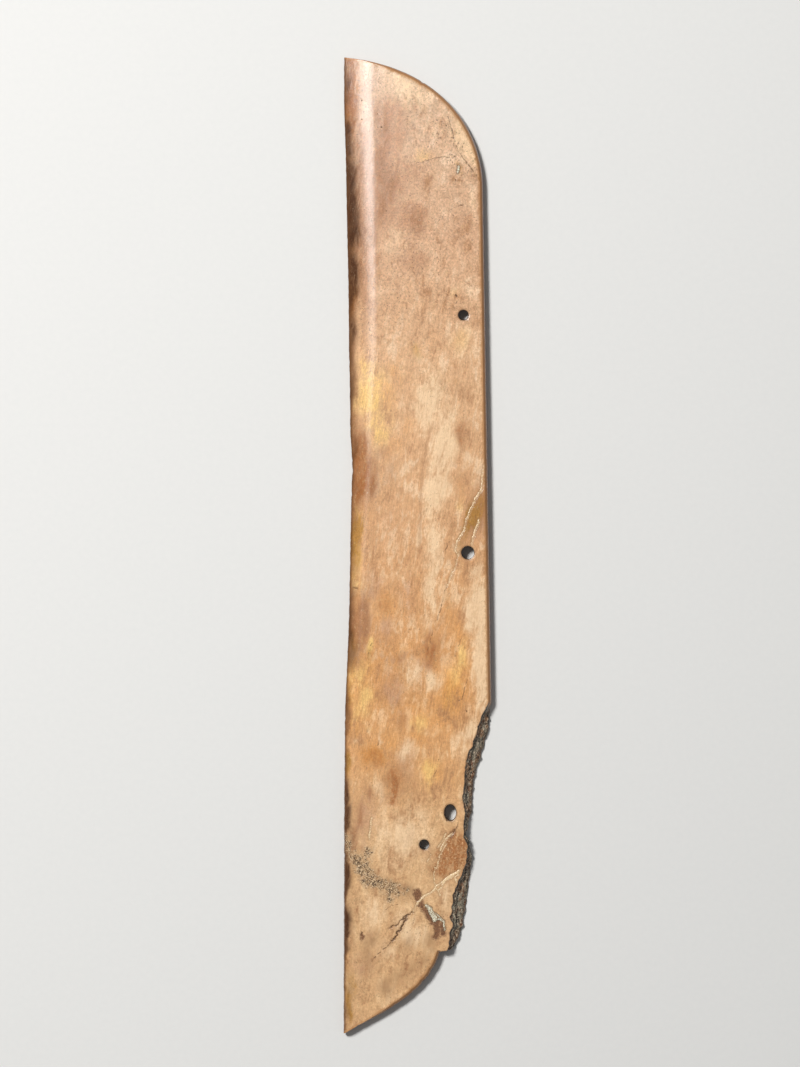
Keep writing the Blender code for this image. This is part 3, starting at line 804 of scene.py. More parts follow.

# %% [markdown]
# ## Where the stone changes colour
# Jade takes in iron as it weathers, so one slab runs from cream through honey to rust. Each tone is a few
# soft patches, laid as a painter would. A patch is its middle, half width, half length, strength
# and, where it has one, lean to the right at its top. Where patches of a tone meet, the stronger counts,
# and the material breaks their edges up later with its own grain.

# %% Patches of each tone: (in, down, half width, half length, strength, lean in degrees)
TONES = {
    "rose": (
        (24, 42, 8, 22, 1.2, 8), (34, 84, 8, 12, 1.1), (33, 60, 10, 9, 0.8, 30), (61, 88, 11, 18, 0.35),
        (24, 78, 6, 14, 0.7), (36, 104, 9, 10, 0.7, 20), (20, 128, 9, 10, 0.35), (15, 270, 5, 7, 0.8),
        (20, 292, 5, 10, 0.55), (24, 324, 6, 9, 0.8, 10), (33, 360, 5, 13, 0.6, 5),
        (38, 312, 8, 12, 0.45, 15), (11, 388, 8, 14, 0.7), (71, 238, 4, 10, 0.7), (66, 262, 8, 8, 0.2),
        (55, 446, 9, 12, 0.35), (10, 464, 8, 10, 0.5), (44, 70, 10, 9, 0.3, 20), (66, 58, 4, 10, 0.3, -20),
        (24, 236, 10, 18, 0.3), (33, 274, 6, 14, 0.4), (12, 142, 6, 10, 0.5),
    ),
    "dusk": (
        (23, 50, 4, 5, 0.5), (26, 31, 5, 4, 0.3), (35, 55, 6, 4, 0.3), (24, 66, 4, 8, 0.35, 10),
        (35, 86, 4, 6, 0.45), (40, 102, 6, 4, 0.4, 25), (27, 116, 3, 11, 0.4, 12), (23, 122, 2, 8, 0.3, 8),
        (56, 169, 5, 7, 0.3, 15), (62, 194, 4, 8, 0.5, 8), (20, 204, 9, 6, 0.4, 20), (8, 212, 8, 24, 1.1),
        (24, 214, 4, 8, 0.35, 15), (8, 290, 5, 17, 1.2), (11.5, 76, 6.5, 54, 1.4), (12, 20, 6, 18, 0.8),
        (20, 60, 8, 36, 1), (29, 50, 8, 4, 0.4, 25), (30, 66, 4, 5, 0.4), (38, 86, 5, 7, 0.5, 10),
        (27, 309, 8, 4, 0.5, -25), (29, 338, 4, 9, 0.4), (12.8, 378, 1.8, 4.5, 0.9), (7, 384, 4, 10, 0.6),
        (67.5, 234, 4.4, 15, 1.3, 16), (59, 220, 6, 6, 0.35, 15), (19, 458, 5, 6, 0.3, 30),
        (41.5, 403, 4.6, 5.2, 0.55), (6, 270, 3.6, 1.6, 0.5), (47, 300, 3, 9, 0.5, 14),
        (18, 250, 5, 4, 0.25), (20, 281, 6, 7, 0.5), (50, 287, 3, 6, 0.3, 10), (35, 398, 3, 6, 0.25, 20),
        (61, 380, 2, 8, 0.35, 12), (5, 396, 3, 12, 0.6), (5, 405, 5.4, 5, 0.9), (4, 22, 5, 22, 0.9),
        (4, 150, 4, 14, 0.6), (4, 180, 3, 14, 0.5), (3.6, 448, 3, 16, 0.4), (14, 448, 4, 5, 0.35, 30),
        (36, 375, 3, 6, 0.3),
    ),
    "orange": (
        (44, 50, 7, 5, 0.3), (27, 162, 7, 9, 0.5, 8), (22, 174, 6, 10, 0.6, 8), (33, 190, 6, 12, 0.45, 8),
        (26, 200, 8, 10, 0.5, 10), (61, 221, 6, 8, 0.45), (21, 281, 9, 9, 0.8, 10),
        (55, 322, 8, 16, 1.1, 8), (66, 252, 4, 8, 0.4, 10), (62, 262, 6, 10, 0.35), (58, 294, 6, 12, 0.6),
        (60, 306, 5, 12, 0.6), (41, 336, 9, 9, 0.6, 8), (38, 347, 9, 6, 0.7, 8), (15, 357, 8, 9, 1.1, 12),
        (24, 350, 7, 8, 0.6, 12), (50, 340, 8, 12, 0.5, 8), (22, 322, 5, 12, 0.4, 5), (46, 366, 7, 9, 0.8),
        (57, 366, 4, 8, 0.4, 10), (46, 145, 6, 6, 0.3), (53, 287, 5, 9, 0.5, 10), (3, 122, 5, 13, 0.8),
        (4, 16, 4.6, 18, 1), (31, 303, 8, 5, 0.5, -30), (12, 236, 5, 9, 0.35), (60, 399, 4, 8, 0.4),
        (24, 389, 9, 3, 0.35), (40, 270, 3, 8, 0.4, 5), (7, 330, 4, 22, 0.5), (13, 318, 4, 12, 0.5, 5),
        (37, 262, 3, 10, 0.3), (45, 232, 3, 10, 0.3, 8), (6, 342, 4, 8, 0.6), (4, 418, 3, 10, 0.4),
        (3, 462, 2.4, 10, 0.5),
    ),
    "cream": (
        (34, 16, 12, 8, 1, 25), (64, 44, 6, 15, 1.5, -25), (27, 97, 7, 8, 0.5), (44, 36, 6, 6, 0.4, 20),
        (66, 78, 5, 10, 0.5), (44, 176, 8, 15, 1.3, 12), (51, 198, 7.4, 18, 1.5, 8),
        (48, 222, 7, 17, 1.35, 6), (46, 246, 6, 20, 1, 3), (45, 272, 4.4, 16, 1.1, 3),
        (43, 288, 2.6, 8, 0.8, 8), (68, 264, 5.4, 9, 0.9), (69.5, 284, 6.4, 15, 2.1),
        (71, 312, 4.4, 24, 1.9), (65, 346, 5.4, 13, 1.4, 20), (35, 316, 6, 9, 0.8, 25),
        (44, 320, 6, 6, 0.9), (33, 356, 4.4, 9, 0.9, 8), (18, 376, 5, 6, 0.75, -20), (26, 388, 9, 8, 0.5),
        (30, 398, 15, 12, 1), (38, 386, 8, 10, 0.6), (26, 412, 10, 7, 0.6), (16, 437, 8, 9, 0.8),
        (34, 447, 7, 10, 0.95, -30), (54, 430, 5, 9, 0.8), (22, 458, 8, 6, 0.7, 30),
        (70, 170, 3, 10, 0.5, 10), (70, 152, 3, 8, 0.3), (42, 160, 6, 7, 0.55, 15), (14, 254, 6, 7, 0.4),
        (12, 98, 4, 10, 0.4), (58, 262, 3, 6, 0.4, 10), (30, 262, 8, 5, 0.4), (24, 480, 12, 6, 0.4, 35),
        (6, 349, 3, 3, 0.7), (17.6, 349.6, 1.2, 3, 0.8, 15), (12.8, 343, 1, 2.6, 0.6, 20),
        (14, 268, 4, 5, 0.5), (35, 288, 3, 8, 0.4), (22, 268, 2.4, 6, 0.35), (20, 432, 4, 4, 0.4),
    ),
    "honey": (
        (14, 173, 7.6, 12, 1.45, 8), (20, 189, 5.4, 10, 1.3, 8), (11, 161, 5, 7, 1),
        (15.6, 184, 6, 9, 1, 5), (8, 178, 3, 10, 0.6), (60, 146, 7, 7, 0.55), (17, 198, 3, 8, 0.45),
        (38, 150, 3, 4, 0.5), (60.5, 228, 3, 4.4, 0.7, 15), (6.4, 236, 2.4, 7, 0.7, 3),
        (6.5, 256, 3.4, 9, 0.9, 3), (7, 268, 3, 5, 0.6), (13.6, 303, 1.4, 5, 1.5, 12), (8, 318, 6, 9, 1, 6),
        (12, 329, 4, 7, 1.4, 8), (6, 333, 3, 9, 0.9, 5), (59.4, 303, 1.9, 6.4, 1.6, 14),
        (57, 314, 4.6, 10, 1, 8), (54, 326, 4, 8, 0.6, 8), (39, 339, 4, 5.4, 0.9, 5),
        (44.6, 367, 3.2, 6, 1.4, 12), (48, 363, 1.7, 4, 1.2, 12), (58, 119, 5, 4, 0.5),
        (13, 342, 3, 3, 0.5), (41, 50, 5, 4, 0.7), (18, 286, 4, 5, 0.3), (37, 56, 3, 3, 0.2),
    ),
    "rust": (
        (44.6, 302, 4.6, 11, 0.8, 14), (26.5, 370, 6.6, 10, 0.85, 6), (25, 378, 7, 5, 0.6),
        (31, 338, 3, 7, 0.45), (54, 406, 7, 12, 1.2, 28), (50, 416, 7, 5, 1.3, 30), (59.5, 407, 6, 11, 1.1),
        (47, 410, 2.4, 7, 0.5, 20), (19, 310, 3, 6, 0.35, 20), (61, 196, 4.2, 9, 0.75, 10),
        (30, 310, 6, 4, 0.35, -35), (18, 362, 4, 7, 0.45, 10), (61.4, 404, 2.6, 7, 0.8),
        (56, 400, 3, 4, 0.7), (24, 358, 4, 5, 0.5), (36, 370, 3, 5, 0.35), (8, 388, 3, 5, 0.35),
        (5, 296, 2.4, 9, 0.5), (62, 216, 3, 6, 0.3), (15, 358, 9, 8, 0.5, 10), (3.2, 18, 4.6, 24, 1.3),
        (5, 128, 3, 10, 0.7), (7.5, 214, 8, 16, 0.9),
    ),
    "olive": (
        (5.4, 247, 4.2, 15, 1.1), (3, 361, 1.7, 8, 1), (3, 325, 1.8, 18, 0.6), (2.6, 486, 2, 10, 0.75),
        (5, 300, 3, 8, 0.4), (4.6, 474, 2.2, 8, 0.5), (58.7, 57.8, 1.5, 2.6, 0.8, 10),
        (13.5, 308, 3, 6, 0.4, 8), (37, 150, 4, 5, 0.4), (66, 236, 4, 14, 1, 18), (57, 168, 4, 6, 0.35, 15),
        (54, 280, 3, 8, 0.3, 8),
    ),
    "umber": (
        (0.6, 12, 5, 16, 0.75), (1, 44, 5, 26, 1.2), (2.2, 78, 5.8, 32, 1.7), (2.8, 112, 5.6, 22, 1.5),
        (3.4, 144, 3.4, 26, 0.9), (3.4, 176, 3.2, 30, 0.8), (4.2, 208, 4.2, 24, 0.6),
        (3.6, 250, 2.2, 30, 0.5), (2.8, 290, 4.6, 26, 0.9), (1.6, 330, 2.2, 28, 0.7),
        (0.8, 386, 3, 40, 1.1), (0.2, 428, 3.2, 52, 1.8),
    ),
}


PATCH_FALL = 1.1
PATCH_FLATNESS = 0.9


def patched(patches, plan):
    """How strongly a tone is laid at each place, with its borders pushed about by clouds."""
    space = with_height(plan)
    drift = np.column_stack([rough(space, (7.0, 10.0, 9.0), shift, 3) for shift in (41.0, 57.0)])
    moved = plan + drift * (2.0, 3.6)
    total = np.zeros(len(plan))
    for inward_at, down_at, half_width, half_length, strength, *tilt in patches:
        away = moved - (inward_at, down_at)
        turn = math.radians(sum(tilt))
        across = (away[:, 0] * math.cos(turn) + away[:, 1] * math.sin(turn)) / half_width
        along_it = (-away[:, 0] * math.sin(turn) + away[:, 1] * math.cos(turn)) / half_length
        fall = PATCH_FALL * (across**2 + along_it**2) ** PATCH_FLATNESS
        total = np.maximum(total, strength * np.exp(-fall))
    return total


# %% [markdown]
# ## Numbers on the vertices
# The marks and tones become named attributes of the mesh, which the material reads by name. The underside
# gets what would run through the stone, faintly, and none of the wear.

# %% How much of the underside each vertex has
plan = skin_points[:, :2]
of_under, of_wall, of_holes = slice(starts[1], starts[2]), slice(starts[2], starts[3]), slice(starts[3], None)
under_share = np.zeros(len(plan))
under_share[of_under] = 1.0
under_share[of_wall] = np.repeat(1 - soft_step(rise[1:-1], 0.2, 0.6), stations)
under_share[of_holes] = 0.5
hole_wall = np.zeros(len(plan))
hole_wall[of_holes] = 1.0

# %% Tones and marks on every vertex; a mark is (name, lines, how far its border wanders, size of its waves)
UNDERSIDE_FADE = 0.35
UNDERSIDE_CLEAR = 6.0
MARKS = (
    ("vein", VEINS, 0.35, 2.2), ("hairline", HAIRLINES, 0.35, 2.2), ("groove", GROOVES, 0.7, 1.4),
    ("crust", CRUSTS, 0.35, 2.2), ("seam", SEAMS, 0.35, 2.2), ("stain", STAINS, 0.6, 2.2),
    ("speckled", BAND, 1.6, 3.0), ("smudge", SMUDGES, 1.6, 5.0), ("pit", PITS, 0.1, 2.2),
)
faded = 1 - UNDERSIDE_FADE * under_share
measures = {tone: patched(patches, plan) * faded for tone, patches in TONES.items()}
for name, lines, wander, grain in MARKS:
    measures[name] = inside(lines, plan, wander, grain) - UNDERSIDE_CLEAR * under_share

# %% Where each vertex lies on the blade
def per_wall(values):
    """A value of each station, given to every vertex of the wall's rows there."""
    spread_out = np.zeros(len(plan))
    spread_out[of_wall] = np.tile(values, ROWS - 1)
    return spread_out


def gap_to_rim(some_stations, near):
    """Distance to part of the top rim, for the places near it."""
    gap = np.full(len(plan), FAR)
    for some in np.array_split(np.flatnonzero(near), 60):
        gap[some] = nearest(plan[some], rim_line(True)[some_stations])
    return np.minimum(gap, FAR)


near_break = (plan[:, 1] > break_start - 5) & (plan[:, 0] > 40)
near_back = (rim_in(plan[:, 1], True, right) - plan[:, 0] < 5) | (plan[:, 1] < 20)
measures["hole_wall"] = hole_wall
measures["hole_gap"] = gap_to_holes(plan, THICKNESS)
measures["edge_gap"] = from_edge(plan)
measures["torn"] = per_wall(weight)
measures["back_wall"] = per_wall(right * (1 - weight))
measures["under"] = under_share
measures["torn_gap"] = gap_to_rim(weight > 0.5, near_break)
measures["back_gap"] = gap_to_rim(right & (weight < 0.5), near_back) + FAR * under_share
for name, values in measures.items():
    skin.attributes.new(name, "FLOAT", "POINT").data.foreach_set("value", np.asarray(values, np.float32))
print("attributes:", ", ".join(measures))

# %% [markdown]
# ## Writing a material as sums
# A material is a web of nodes. Wrapping a socket in a small class lets the web be written as plain
# expressions: adding two wires adds a Math node, and one method makes every other kind of node.

# %% A wire that can be added and multiplied
class Wire:
    """One output socket, with arithmetic that adds Math nodes."""

    def __init__(self, shade, socket):
        self.shade = shade
        self.socket = socket

    def maths(self, operation, *others):
        """A Math node of one kind, fed with these wires or numbers."""
        return self.shade.add("ShaderNodeMath", {"operation": operation}, dict(enumerate(others)))

    def __add__(self, other):
        return self.maths("ADD", self, other)

    def __sub__(self, other):
        return self.maths("SUBTRACT", self, other)

    def __rsub__(self, other):
        return self.maths("SUBTRACT", other, self)

    def __mul__(self, other):
        return self.maths("MULTIPLY", self, other)

    __radd__ = __add__
    __rmul__ = __mul__

    def least(self, other):
        return self.maths("MINIMUM", self, other)

    def step(self, low, high):
        """0 below low, 1 above high, smooth between."""
        sockets = {"Value": self, "From Min": low, "From Max": high}
        return self.shade.add("ShaderNodeMapRange", {"interpolation_type": "SMOOTHSTEP"}, sockets)


# %% A material that hands out wires
class Shade:
    """A material that hands out its nodes as wires. Plain colours are given as seen under its light."""

    def __init__(self, name, light=1.0):
        self.light = light
        self.material = bpy.data.materials.new(name)
        self.material.use_nodes = True
        self.tree = self.material.node_tree
        self.surface = self.tree.nodes["Principled BSDF"]
        self.place = self.add("ShaderNodeTexCoord", {}, {}, "Object")
        self.colour = None

    def own(self, seen):
        """The material's own colour, from its colour as seen under the light."""
        return (*(part / self.light for part in seen), 1.0)

    def connect(self, value, socket):
        """Link a wire to a socket, or set the socket to a plain value."""
        if isinstance(value, Wire):
            self.tree.links.new(value.socket, socket)
        else:
            socket.default_value = value

    def add(self, kind, settings, sockets, output=0):
        """One node: its settings first, then a value or a wire for each named socket."""
        node = self.tree.nodes.new(kind)
        for name, value in settings.items():
            if name == "stops":
                for _ in value[2:]:
                    node.color_ramp.elements.new(0.5)
                for element, (position, colour) in zip(node.color_ramp.elements, value):
                    element.position = position
                    element.color = self.own(colour)
            else:
                setattr(node, name, value)
        for name, value in sockets.items():
            self.connect(value, node.inputs[name])
        return Wire(self, node.outputs[output])

    def measure(self, name):
        """A number kept on the vertices."""
        return self.add("ShaderNodeAttribute", {"attribute_name": name}, {}, "Fac")

    def grain(self, size, detail=2.0, roughness=0.5, shift=0.0, warp=0.0, lean=0.0):
        """Noise with blobs of this size in millimetres (x, y, z), leaning to the right at their top."""
        placed = self.add("ShaderNodeMapping", {"vector_type": "TEXTURE"}, {
            "Vector": self.place,
            "Location": tuple(shift * MM * side for side in size),
            "Rotation": (0.0, 0.0, math.radians(-lean)),
            "Scale": tuple(side * MM for side in size),
        })
        return self.add("ShaderNodeTexNoise", {}, {
            "Vector": placed,
            "Scale": 1.0,
            "Detail": detail,
            "Roughness": roughness,
            "Distortion": warp,
        }, "Fac")

    def mix(self, mask, colour, other, blend="MIX"):
        """The first colour, turning into the other where the mask is 1."""
        sockets = {0: mask}
        for index, value in ((6, colour), (7, other)):
            sockets[index] = value if isinstance(value, Wire) else self.own(value)
        return self.add("ShaderNodeMix", {"data_type": "RGBA", "blend_type": blend}, sockets, 2)

    def tint(self, mask, other, blend="MIX"):
        """Turn the material's colour so far into the other one where the mask is 1."""
        self.colour = self.mix(mask, self.colour, other, blend)

    def finish(self, **sockets):
        """Feed the surface shader."""
        for name, value in sockets.items():
            self.connect(value, self.surface.inputs[name.replace("_", " ").title().replace("Ior", "IOR")])


# %% [markdown]
# ## Jade
# Weathered jade looks waxy, not glassy: a soft gloss over a colour that is clouded, faintly streaked along
# the slab and peppered with fine specks. Its colours are read as seen under the studio light, and the
# material divides them by how much light falls on the slab to give the stone's own colour.

# %% The palette, as seen under the light
LIGHT_ON_SLAB = 1.06
GROUND_TONES = (
    (0.0, (0.67, 0.445, 0.285)), (0.18, (0.70, 0.43, 0.265)), (0.34, (0.75, 0.45, 0.245)),
    (0.50, (0.71, 0.39, 0.19)), (0.64, (0.71, 0.35, 0.13)), (0.72, (0.73, 0.39, 0.17)),
    (0.80, (0.745, 0.46, 0.235)), (1.0, (0.72, 0.43, 0.215)),
)
LIGHT_TONES = (
    (0.0, (0.82, 0.60, 0.42)), (0.45, (0.84, 0.58, 0.36)), (0.66, (0.87, 0.55, 0.30)),
    (0.80, (0.87, 0.59, 0.33)), (1.0, (0.83, 0.55, 0.30)),
)
# Each tone's colour, the strengths at which it starts and is full, how much it covers, how ragged it is
TONE_COLOURS = {
    "rose": ((0.56, 0.31, 0.18), 0.04, 0.85, 0.9, 1.1),
    "orange": ((0.76, 0.34, 0.085), 0.05, 1.25, 0.9, 1.0),
    "cream": ((0.92, 0.65, 0.40), 0.04, 1.15, 0.95, 0.9),
    "dusk": ((0.38, 0.17, 0.075), 0.04, 0.95, 0.9, 1.1),
    "honey": ((0.93, 0.595, 0.215), 0.05, 1.55, 0.95, 1.0),
    "rust": ((0.40, 0.15, 0.045), 0.05, 1.05, 0.95, 1.4),
    "olive": ((0.45, 0.22, 0.045), 0.1, 0.9, 0.9, 1.3),
    "umber": ((0.075, 0.026, 0.008), 0.05, 1.1, 1.0, 0.4),
}

# %% Grains of every size
jade = Shade("jade", LIGHT_ON_SLAB)
down_share = 0.5 - jade.add("ShaderNodeSeparateXYZ", {}, {0: jade.place}, "Y") * (1 / (LENGTH * MM))
GRAIN_LEAN = 9.0
lower_end = down_share.step(0.72, 0.80)
fibrous = down_share.step(0.20, 0.36) * (1 - lower_end)
wisps = jade.grain((3.8, 13.0, 5.0), 2.5, 0.55, 2.0, 1.0, GRAIN_LEAN) - 0.5
clouds = jade.grain((10.0, 15.0, 10.0), 2.5, 0.5, 5.0, 0.6) - 0.5
mottle = jade.grain((2.2, 3.0, 2.4), 2.5, 0.55, 8.0, 0.6) - 0.5
fibres = jade.grain((0.55, 5.0, 1.6), 3.0, 0.65, 11.0, 0.9, GRAIN_LEAN) - 0.5
specks = jade.grain((0.95, 1.1, 1.0), 3.0, 0.8, 14.0) - 0.5

# %% Ground colour, lighter and darker in clouds, and browner towards the cutting edge
jade.colour = jade.add("ShaderNodeValToRGB", {"stops": GROUND_TONES}, {0: down_share})
lighter = jade.add("ShaderNodeValToRGB", {"stops": LIGHT_TONES}, {0: down_share})
figure = clouds * 1.3 + wisps * (1.0 + fibrous * 0.6) + mottle * 0.4
figure = figure + fibres * (0.15 + fibrous * 0.3) + specks * 0.25
jade.tint(figure.step(0.0, 0.40) * 0.85, lighter)
jade.tint((0 - figure).step(0.02, 0.46) * (0.85 - fibrous * 0.25), (0.49, 0.24, 0.11))
brown_reach = 6.0 - down_share.step(0.58, 0.76) * 3.3
browned = 1 - (jade.measure("edge_gap") + mottle * 3.0 + clouds * 4.0).step(0.0, brown_reach)
jade.tint(browned * 0.75, (0.24, 0.095, 0.028))

# %% Tones, their borders broken up by the grain
ragged = clouds * 0.8 + wisps * 1.8 + mottle * 0.6 + fibres * (0.15 + fibrous * 0.6) + specks * 0.2
streaky = (0.95 + fibres * 0.7 + mottle * 0.4 + wisps * 0.5).least(1.0)
for tone, (tone_colour, low_cut, high_cut, cover, raggedness) in TONE_COLOURS.items():
    patch = jade.measure(tone)
    laid_on = (patch + patch * ragged * raggedness + ragged * 0.14).step(low_cut, high_cut)
    jade.tint(laid_on * cover * streaky, tone_colour)

# %% [markdown]
# ## Fine grain
# Close up, the stone is speckled. The rust near the broken corner is crystalline, pink and straw blushes
# lie over the rest but not over the dark edge, and the cream patches are the calmest.

# %% Crystals in the rust at the lower end
calm = 1 - jade.measure("cream").step(0.3, 1.2) * 0.5
crystals = jade.grain((0.9, 1.1, 1.0), 3.0, 0.85, 17.0, 0.6)
grainy = (jade.measure("rust") + mottle * 2.0).step(0.15, 0.8) * lower_end
jade.tint(grainy * (1 - crystals).step(0.52, 0.64) * 0.55, (0.22, 0.09, 0.035))
jade.tint(grainy * crystals.step(0.54, 0.63) * 0.7, (0.84, 0.54, 0.29))

# %% Blushes, shading, painted shade along the shallow step and dark flecks
off_edge = 1 - jade.measure("umber").step(0.1, 0.8)
blush = jade.grain((1.3, 1.8, 1.8), 3.0, 0.7, 19.0, 0.4)
pink = 0.42 - fibrous * 0.2 - lower_end * 0.15
jade.tint(blush.step(0.52, 0.70) * off_edge * calm * pink, (0.56, 0.28, 0.15))
jade.tint((1 - blush).step(0.54, 0.70) * off_edge * 0.3, (0.74, 0.52, 0.26))
uneven = clouds * 0.25 + mottle * (0.6 - fibrous * 0.35) + fibres * (0.3 + fibrous * 0.5)
uneven = uneven + specks * (1.45 - fibrous * 0.7 - lower_end * 0.55)
shading = 1 + calm * uneven
jade.tint(1.0, jade.add("ShaderNodeCombineXYZ", {}, {0: shading, 1: shading, 2: shading}), "MULTIPLY")
# Painted shade: a soft brown line along the shallow step, standing in for the shade beside the step
seam = (jade.measure("seam") + mottle * 0.7).step(-0.6, 0.2)
jade.tint(seam * 0.42, (0.45, 0.24, 0.12))
fleck_dots = jade.grain((0.75, 0.9, 0.8), 1.0, 0.5, 31.0)
fleck_where = jade.grain((14.0, 20.0, 14.0), 2.0, 0.5, 23.0)
flecks = fleck_dots.step(0.65, 0.71) * fleck_where.step(0.40, 0.58)
jade.tint(flecks * (0.85 - fibrous * 0.45 - lower_end * 0.35), (0.20, 0.12, 0.07))

# %% [markdown]
# ## The marks in colour
# A mark's number is how many millimetres inside it a place is, so a step over that number draws the mark,
# and noise added to it first makes the mark's border crumble. A wider step behind it gives a stained halo.

# %% Smudges, the speckled band and the stains
edge_noise = (jade.grain((0.9, 0.9, 0.9), 2.0, 0.6, 41.0) - 0.5) * 0.5
fine_noise = (jade.grain((0.35, 0.35, 0.35), 1.0, 0.5, 47.0) - 0.5) * 0.3
smudge = (jade.measure("smudge") + mottle * 12.0 + specks * 7.0 + clouds * 12.0).step(-1.5, 5.5)
jade.tint(smudge * 0.62, (0.33, 0.175, 0.08))
speckled = jade.measure("speckled") + clouds * 5.0
grit = jade.grain((0.8, 0.62, 0.7), 4.0, 0.8, 51.0, 0.5, 35.0)
in_band = (speckled + mottle * 7.0).step(-2.4, 1.6)
jade.tint(in_band * 0.75, (0.34, 0.195, 0.09))
jade.tint(in_band * (grit + in_band * 0.09 + mottle * 0.3).step(0.57, 0.67) * 0.95, (0.07, 0.038, 0.02))
jade.tint(in_band * (1 - grit).step(0.50, 0.60) * 0.85, (0.90, 0.68, 0.42))
stain = (jade.measure("stain") + edge_noise * 1.2 + mottle * 3.0 + (grit - 0.5) * 3.5).step(-1.3, 0.6)
jade.tint(stain * 0.92, jade.mix(grit.step(0.38, 0.62), (0.28, 0.12, 0.055), (0.11, 0.045, 0.025)))

# %% Grooves, hairlines, veins, crusts and pits
crumbs = (grit - 0.5) * 1.3 + edge_noise
groove = jade.measure("groove") + crumbs
jade.tint((groove + mottle * 3.0).step(-1.2, 0.1) * 0.55, (0.38, 0.20, 0.09))
jade.tint(groove.step(-0.15, 0.3) * 0.9, (0.12, 0.06, 0.03))
hairline = jade.measure("hairline") + fine_noise
broken = jade.grain((2.2, 2.2, 2.2), 2.0, 0.6, 55.0).step(0.40, 0.56)
jade.tint(hairline.step(-0.28, 0.10) * broken * 0.8, (0.18, 0.095, 0.045))
vein = jade.measure("vein") + crumbs * 1.8
thread = jade.mix(grit, (0.84, 0.56, 0.29), (1.0, 0.80, 0.52))
jade.tint((vein + mottle * 2.0).step(-1.0, -0.1) * 0.45, (0.34, 0.19, 0.09))
jade.tint(vein.step(-0.10, 0.10) * (0.55 + broken * 0.45), thread)
crust = jade.measure("crust") + crumbs * 1.1
jade.tint(crust.step(-0.8, -0.1) * 0.7, (0.12, 0.085, 0.05))
jade.tint(crust.step(-0.05, 0.2) * grit.step(0.43, 0.52), (0.82, 0.78, 0.60))
jade.tint(jade.measure("pit").step(-0.25, 0.1) * 0.85, (0.10, 0.06, 0.035))

# %% [markdown]
# ## Rims, walls and the broken face
# The stone darkens towards the hole rims, and the hole walls are painted dark, as painted shade inside the
# deep holes. Handling has browned the back, and the back's wall is painted dark brown, partly its own brown
# and partly painted shade on the side turned from the light. The torn face shows the slab's inside: dark
# layers with grey and brown between them and pale crests, with a painted shadow just under its top rim.

# %% Colour of the rims and walls
hole_gap = jade.measure("hole_gap") + edge_noise * 0.8
# Darker towards the hole rims
jade.tint((1 - hole_gap.step(0.0, 1.0)) * 0.55, (0.20, 0.11, 0.06))
# Painted shade: the hole walls are painted dark, as the deep holes lie in shade
jade.tint(jade.measure("hole_wall") * 0.9, (0.11, 0.065, 0.04))
edge_gap = jade.measure("edge_gap") + edge_noise * 0.8
jade.tint((1 - edge_gap.step(0.1, 1.8)) * 0.85, (0.115, 0.046, 0.015))
# The back's wall in dark browns: partly its own brown, partly painted shade on the side turned from the light
jade.tint(jade.measure("back_wall") * 0.82, jade.mix(mottle + 0.5, (0.13, 0.05, 0.022), (0.36, 0.155, 0.06)))
patina = 1 - (jade.measure("back_gap") + edge_noise + mottle * 2.0).step(0.2, 1.5)
jade.tint(patina * 0.6, (0.50, 0.235, 0.085))

# %% Colour of the broken face
layers = jade.grain((1.6, 2.6, 1.0), 4.0, 0.7, 61.0, 0.4, 24.0)
zones = jade.grain((6.0, 9.0, 4.0), 2.0, 0.6, 64.0)
reddish = jade.grain((3.0, 7.0, 3.0), 2.0, 0.5, 67.0)
ridges = jade.grain((0.7, 1.1, 0.6), 3.0, 0.7, 71.0, 0.2, 24.0)
# Painted shadow: a near-black band on the broken face just under its top rim, where the overhang shades it
shadow_under_lip = 1 - (jade.measure("torn_gap") + mottle * 2.0).step(0.1, 1.2)
fracture = jade.mix(zones.step(0.44, 0.56), (0.34, 0.19, 0.10), (0.27, 0.24, 0.175))
fracture = jade.mix(layers.step(0.40, 0.56), (0.035, 0.02, 0.013), fracture)
fracture = jade.mix(reddish.step(0.54, 0.66) * 0.7, fracture, (0.22, 0.075, 0.028))
fracture = jade.mix(ridges.step(0.54, 0.60) * 0.9, fracture, (0.74, 0.60, 0.44))
# Lay the painted shadow under the top rim over the broken face's colours
fracture = jade.mix(shadow_under_lip * 0.8, fracture, (0.03, 0.016, 0.01))
torn_lip = jade.measure("torn_gap") + edge_noise
jade.tint((1 - torn_lip.step(0.0, 0.55)) * 0.6, (0.25, 0.14, 0.08))
jade.tint(jade.measure("torn").step(0.2, 0.6), fracture)

# %% Gloss and fine relief
BUMP_DEPTH = 0.11 * MM
scratches = jade.grain((0.16, 7.0, 2.0), 2.0, 0.6, 81.0)
pores = jade.grain((0.30, 0.34, 0.30), 2.0, 0.6, 87.0)
torn_here, hole_here, under_here = (jade.measure(name) for name in ("torn", "hole_wall", "under"))
duller = down_share.step(0.24, 0.40) * 0.09
roughness = 0.155 + duller + mottle * 0.08 + fibres * 0.10 + (pores - 0.5) * 0.14
roughness = roughness + torn_here * 0.42 + in_band * 0.25 + hole_here * 0.3
roughness = roughness + groove.step(-0.3, 0.4) * 0.35 + crust.step(-0.3, 0.3) * 0.3 + under_here * 0.1
relief = scratches * 0.35 + pores * 0.4 + specks * 1.1 + fibres * 0.6 + mottle * 1.0
relief = relief + torn_here * (layers * 4.0 + ridges * 3.0) + in_band * grit * 2.0
normal = jade.add("ShaderNodeBump", {}, {"Strength": 0.35, "Distance": BUMP_DEPTH, "Height": relief})
jade.finish(base_color=jade.colour, roughness=roughness, normal=normal, ior=1.6, specular_ior_level=0.5)
skin.materials.append(jade.material)
print("material nodes:", len(jade.tree.nodes))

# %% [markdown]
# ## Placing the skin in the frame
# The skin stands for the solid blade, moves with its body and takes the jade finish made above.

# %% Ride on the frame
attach(blade, "root")
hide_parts("jade_blade")

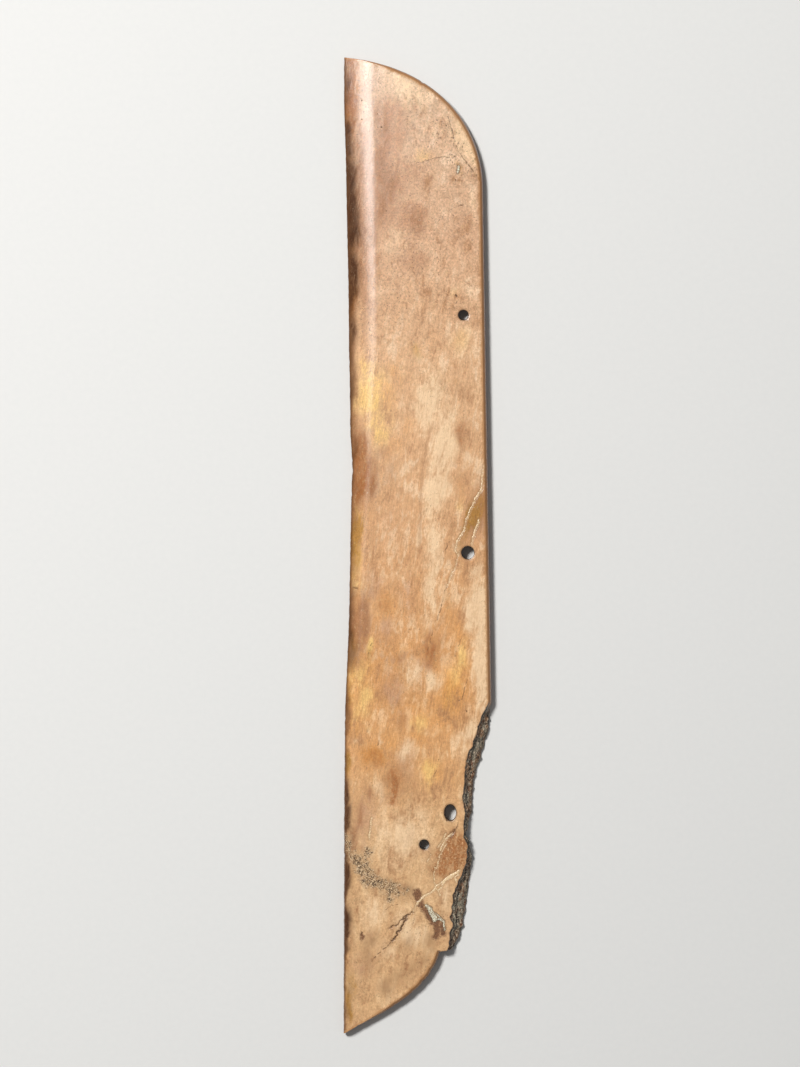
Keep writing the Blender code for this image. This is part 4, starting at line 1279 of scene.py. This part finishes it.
# %% [markdown]
# ## A plain studio
# A pale floor, a pale sky and two soft lights from the upper left. Polished stone is often photographed
# through a polarising filter, which keeps the light's glare off it. So the main light here shows only in the
# stone's colour. A second one shows only in its gloss, placed so that its mirror image falls on the convex
# bevel, as the long highlight does on the real slab.

# %% Floor and sky
FLOOR_SIDE = 6.0
FLOOR_GAP = 0.00005
SKY = (0.98, 0.99, 1.0, 1.0)
SKY_STRENGTH = 0.18
floor_mesh = bpy.data.meshes.new("floor")
half = FLOOR_SIDE / 2
corners = [(x, y, -FLOOR_GAP) for x, y in ((-half, -half), (half, -half), (half, half), (-half, half))]
floor_mesh.from_pydata(corners, [], [(0, 1, 2, 3)])
floor = bpy.data.objects.new("floor", floor_mesh)
bpy.context.scene.collection.objects.link(floor)
paper = Shade("pale_paper")
fibre = paper.grain((3.0, 3.0, 3.0), 3.0, 0.6)
paper.finish(base_color=paper.mix(fibre, (0.74, 0.745, 0.74), (0.78, 0.78, 0.77)), roughness=0.9)
floor_mesh.materials.append(paper.material)

world = bpy.data.worlds.new("studio")
bpy.context.scene.world = world
world.use_nodes = True
sky = world.node_tree.nodes["Background"]
sky.inputs["Color"].default_value = SKY
sky.inputs["Strength"].default_value = SKY_STRENGTH

# %% Two soft lights from the upper left
LAMP_COLOUR = (1.0, 0.985, 0.96)


def soft_light(name, place, size, watts, in_colour, in_gloss):
    """A lamp behind a diffuser, aimed at the slab's middle, seen in the stone's colour or in its gloss."""
    lamp = bpy.data.lights.new(name, "AREA")
    lamp.shape = "RECTANGLE"
    lamp.size, lamp.size_y = size
    lamp.energy = watts
    lamp.color = LAMP_COLOUR
    light = bpy.data.objects.new(name, lamp)
    light.location = place
    light.visible_diffuse = in_colour
    light.visible_glossy = in_gloss
    light.rotation_euler = (-Vector(place)).to_track_quat("-Z", "Y").to_euler()
    bpy.context.scene.collection.objects.link(light)


soft_light("main_light", (-1.12, 0.95, 2.15), (0.5, 0.5), 72.0, True, False)
soft_light("highlight_strip", (-0.59, 0.65, 2.2), (0.78, 0.40), 18.5, False, True)

# %% Camera straight above, as in the photograph
EYE_HEIGHT = 1.6
FRAME_HEIGHT = 0.5461
FRAME_MIDDLE = (-0.00893, 0.00613)
SENSOR_HEIGHT = 24.0
camera_data = bpy.data.cameras.new("camera")
camera_data.sensor_fit = "VERTICAL"
camera_data.sensor_height = SENSOR_HEIGHT
camera_data.lens = SENSOR_HEIGHT * (EYE_HEIGHT - THICKNESS / 2 * MM) / FRAME_HEIGHT
camera = bpy.data.objects.new("camera", camera_data)
camera.location = (*FRAME_MIDDLE, EYE_HEIGHT)
bpy.context.scene.collection.objects.link(camera)
bpy.context.scene.camera = camera
bpy.context.scene.view_settings.view_transform = "Standard"
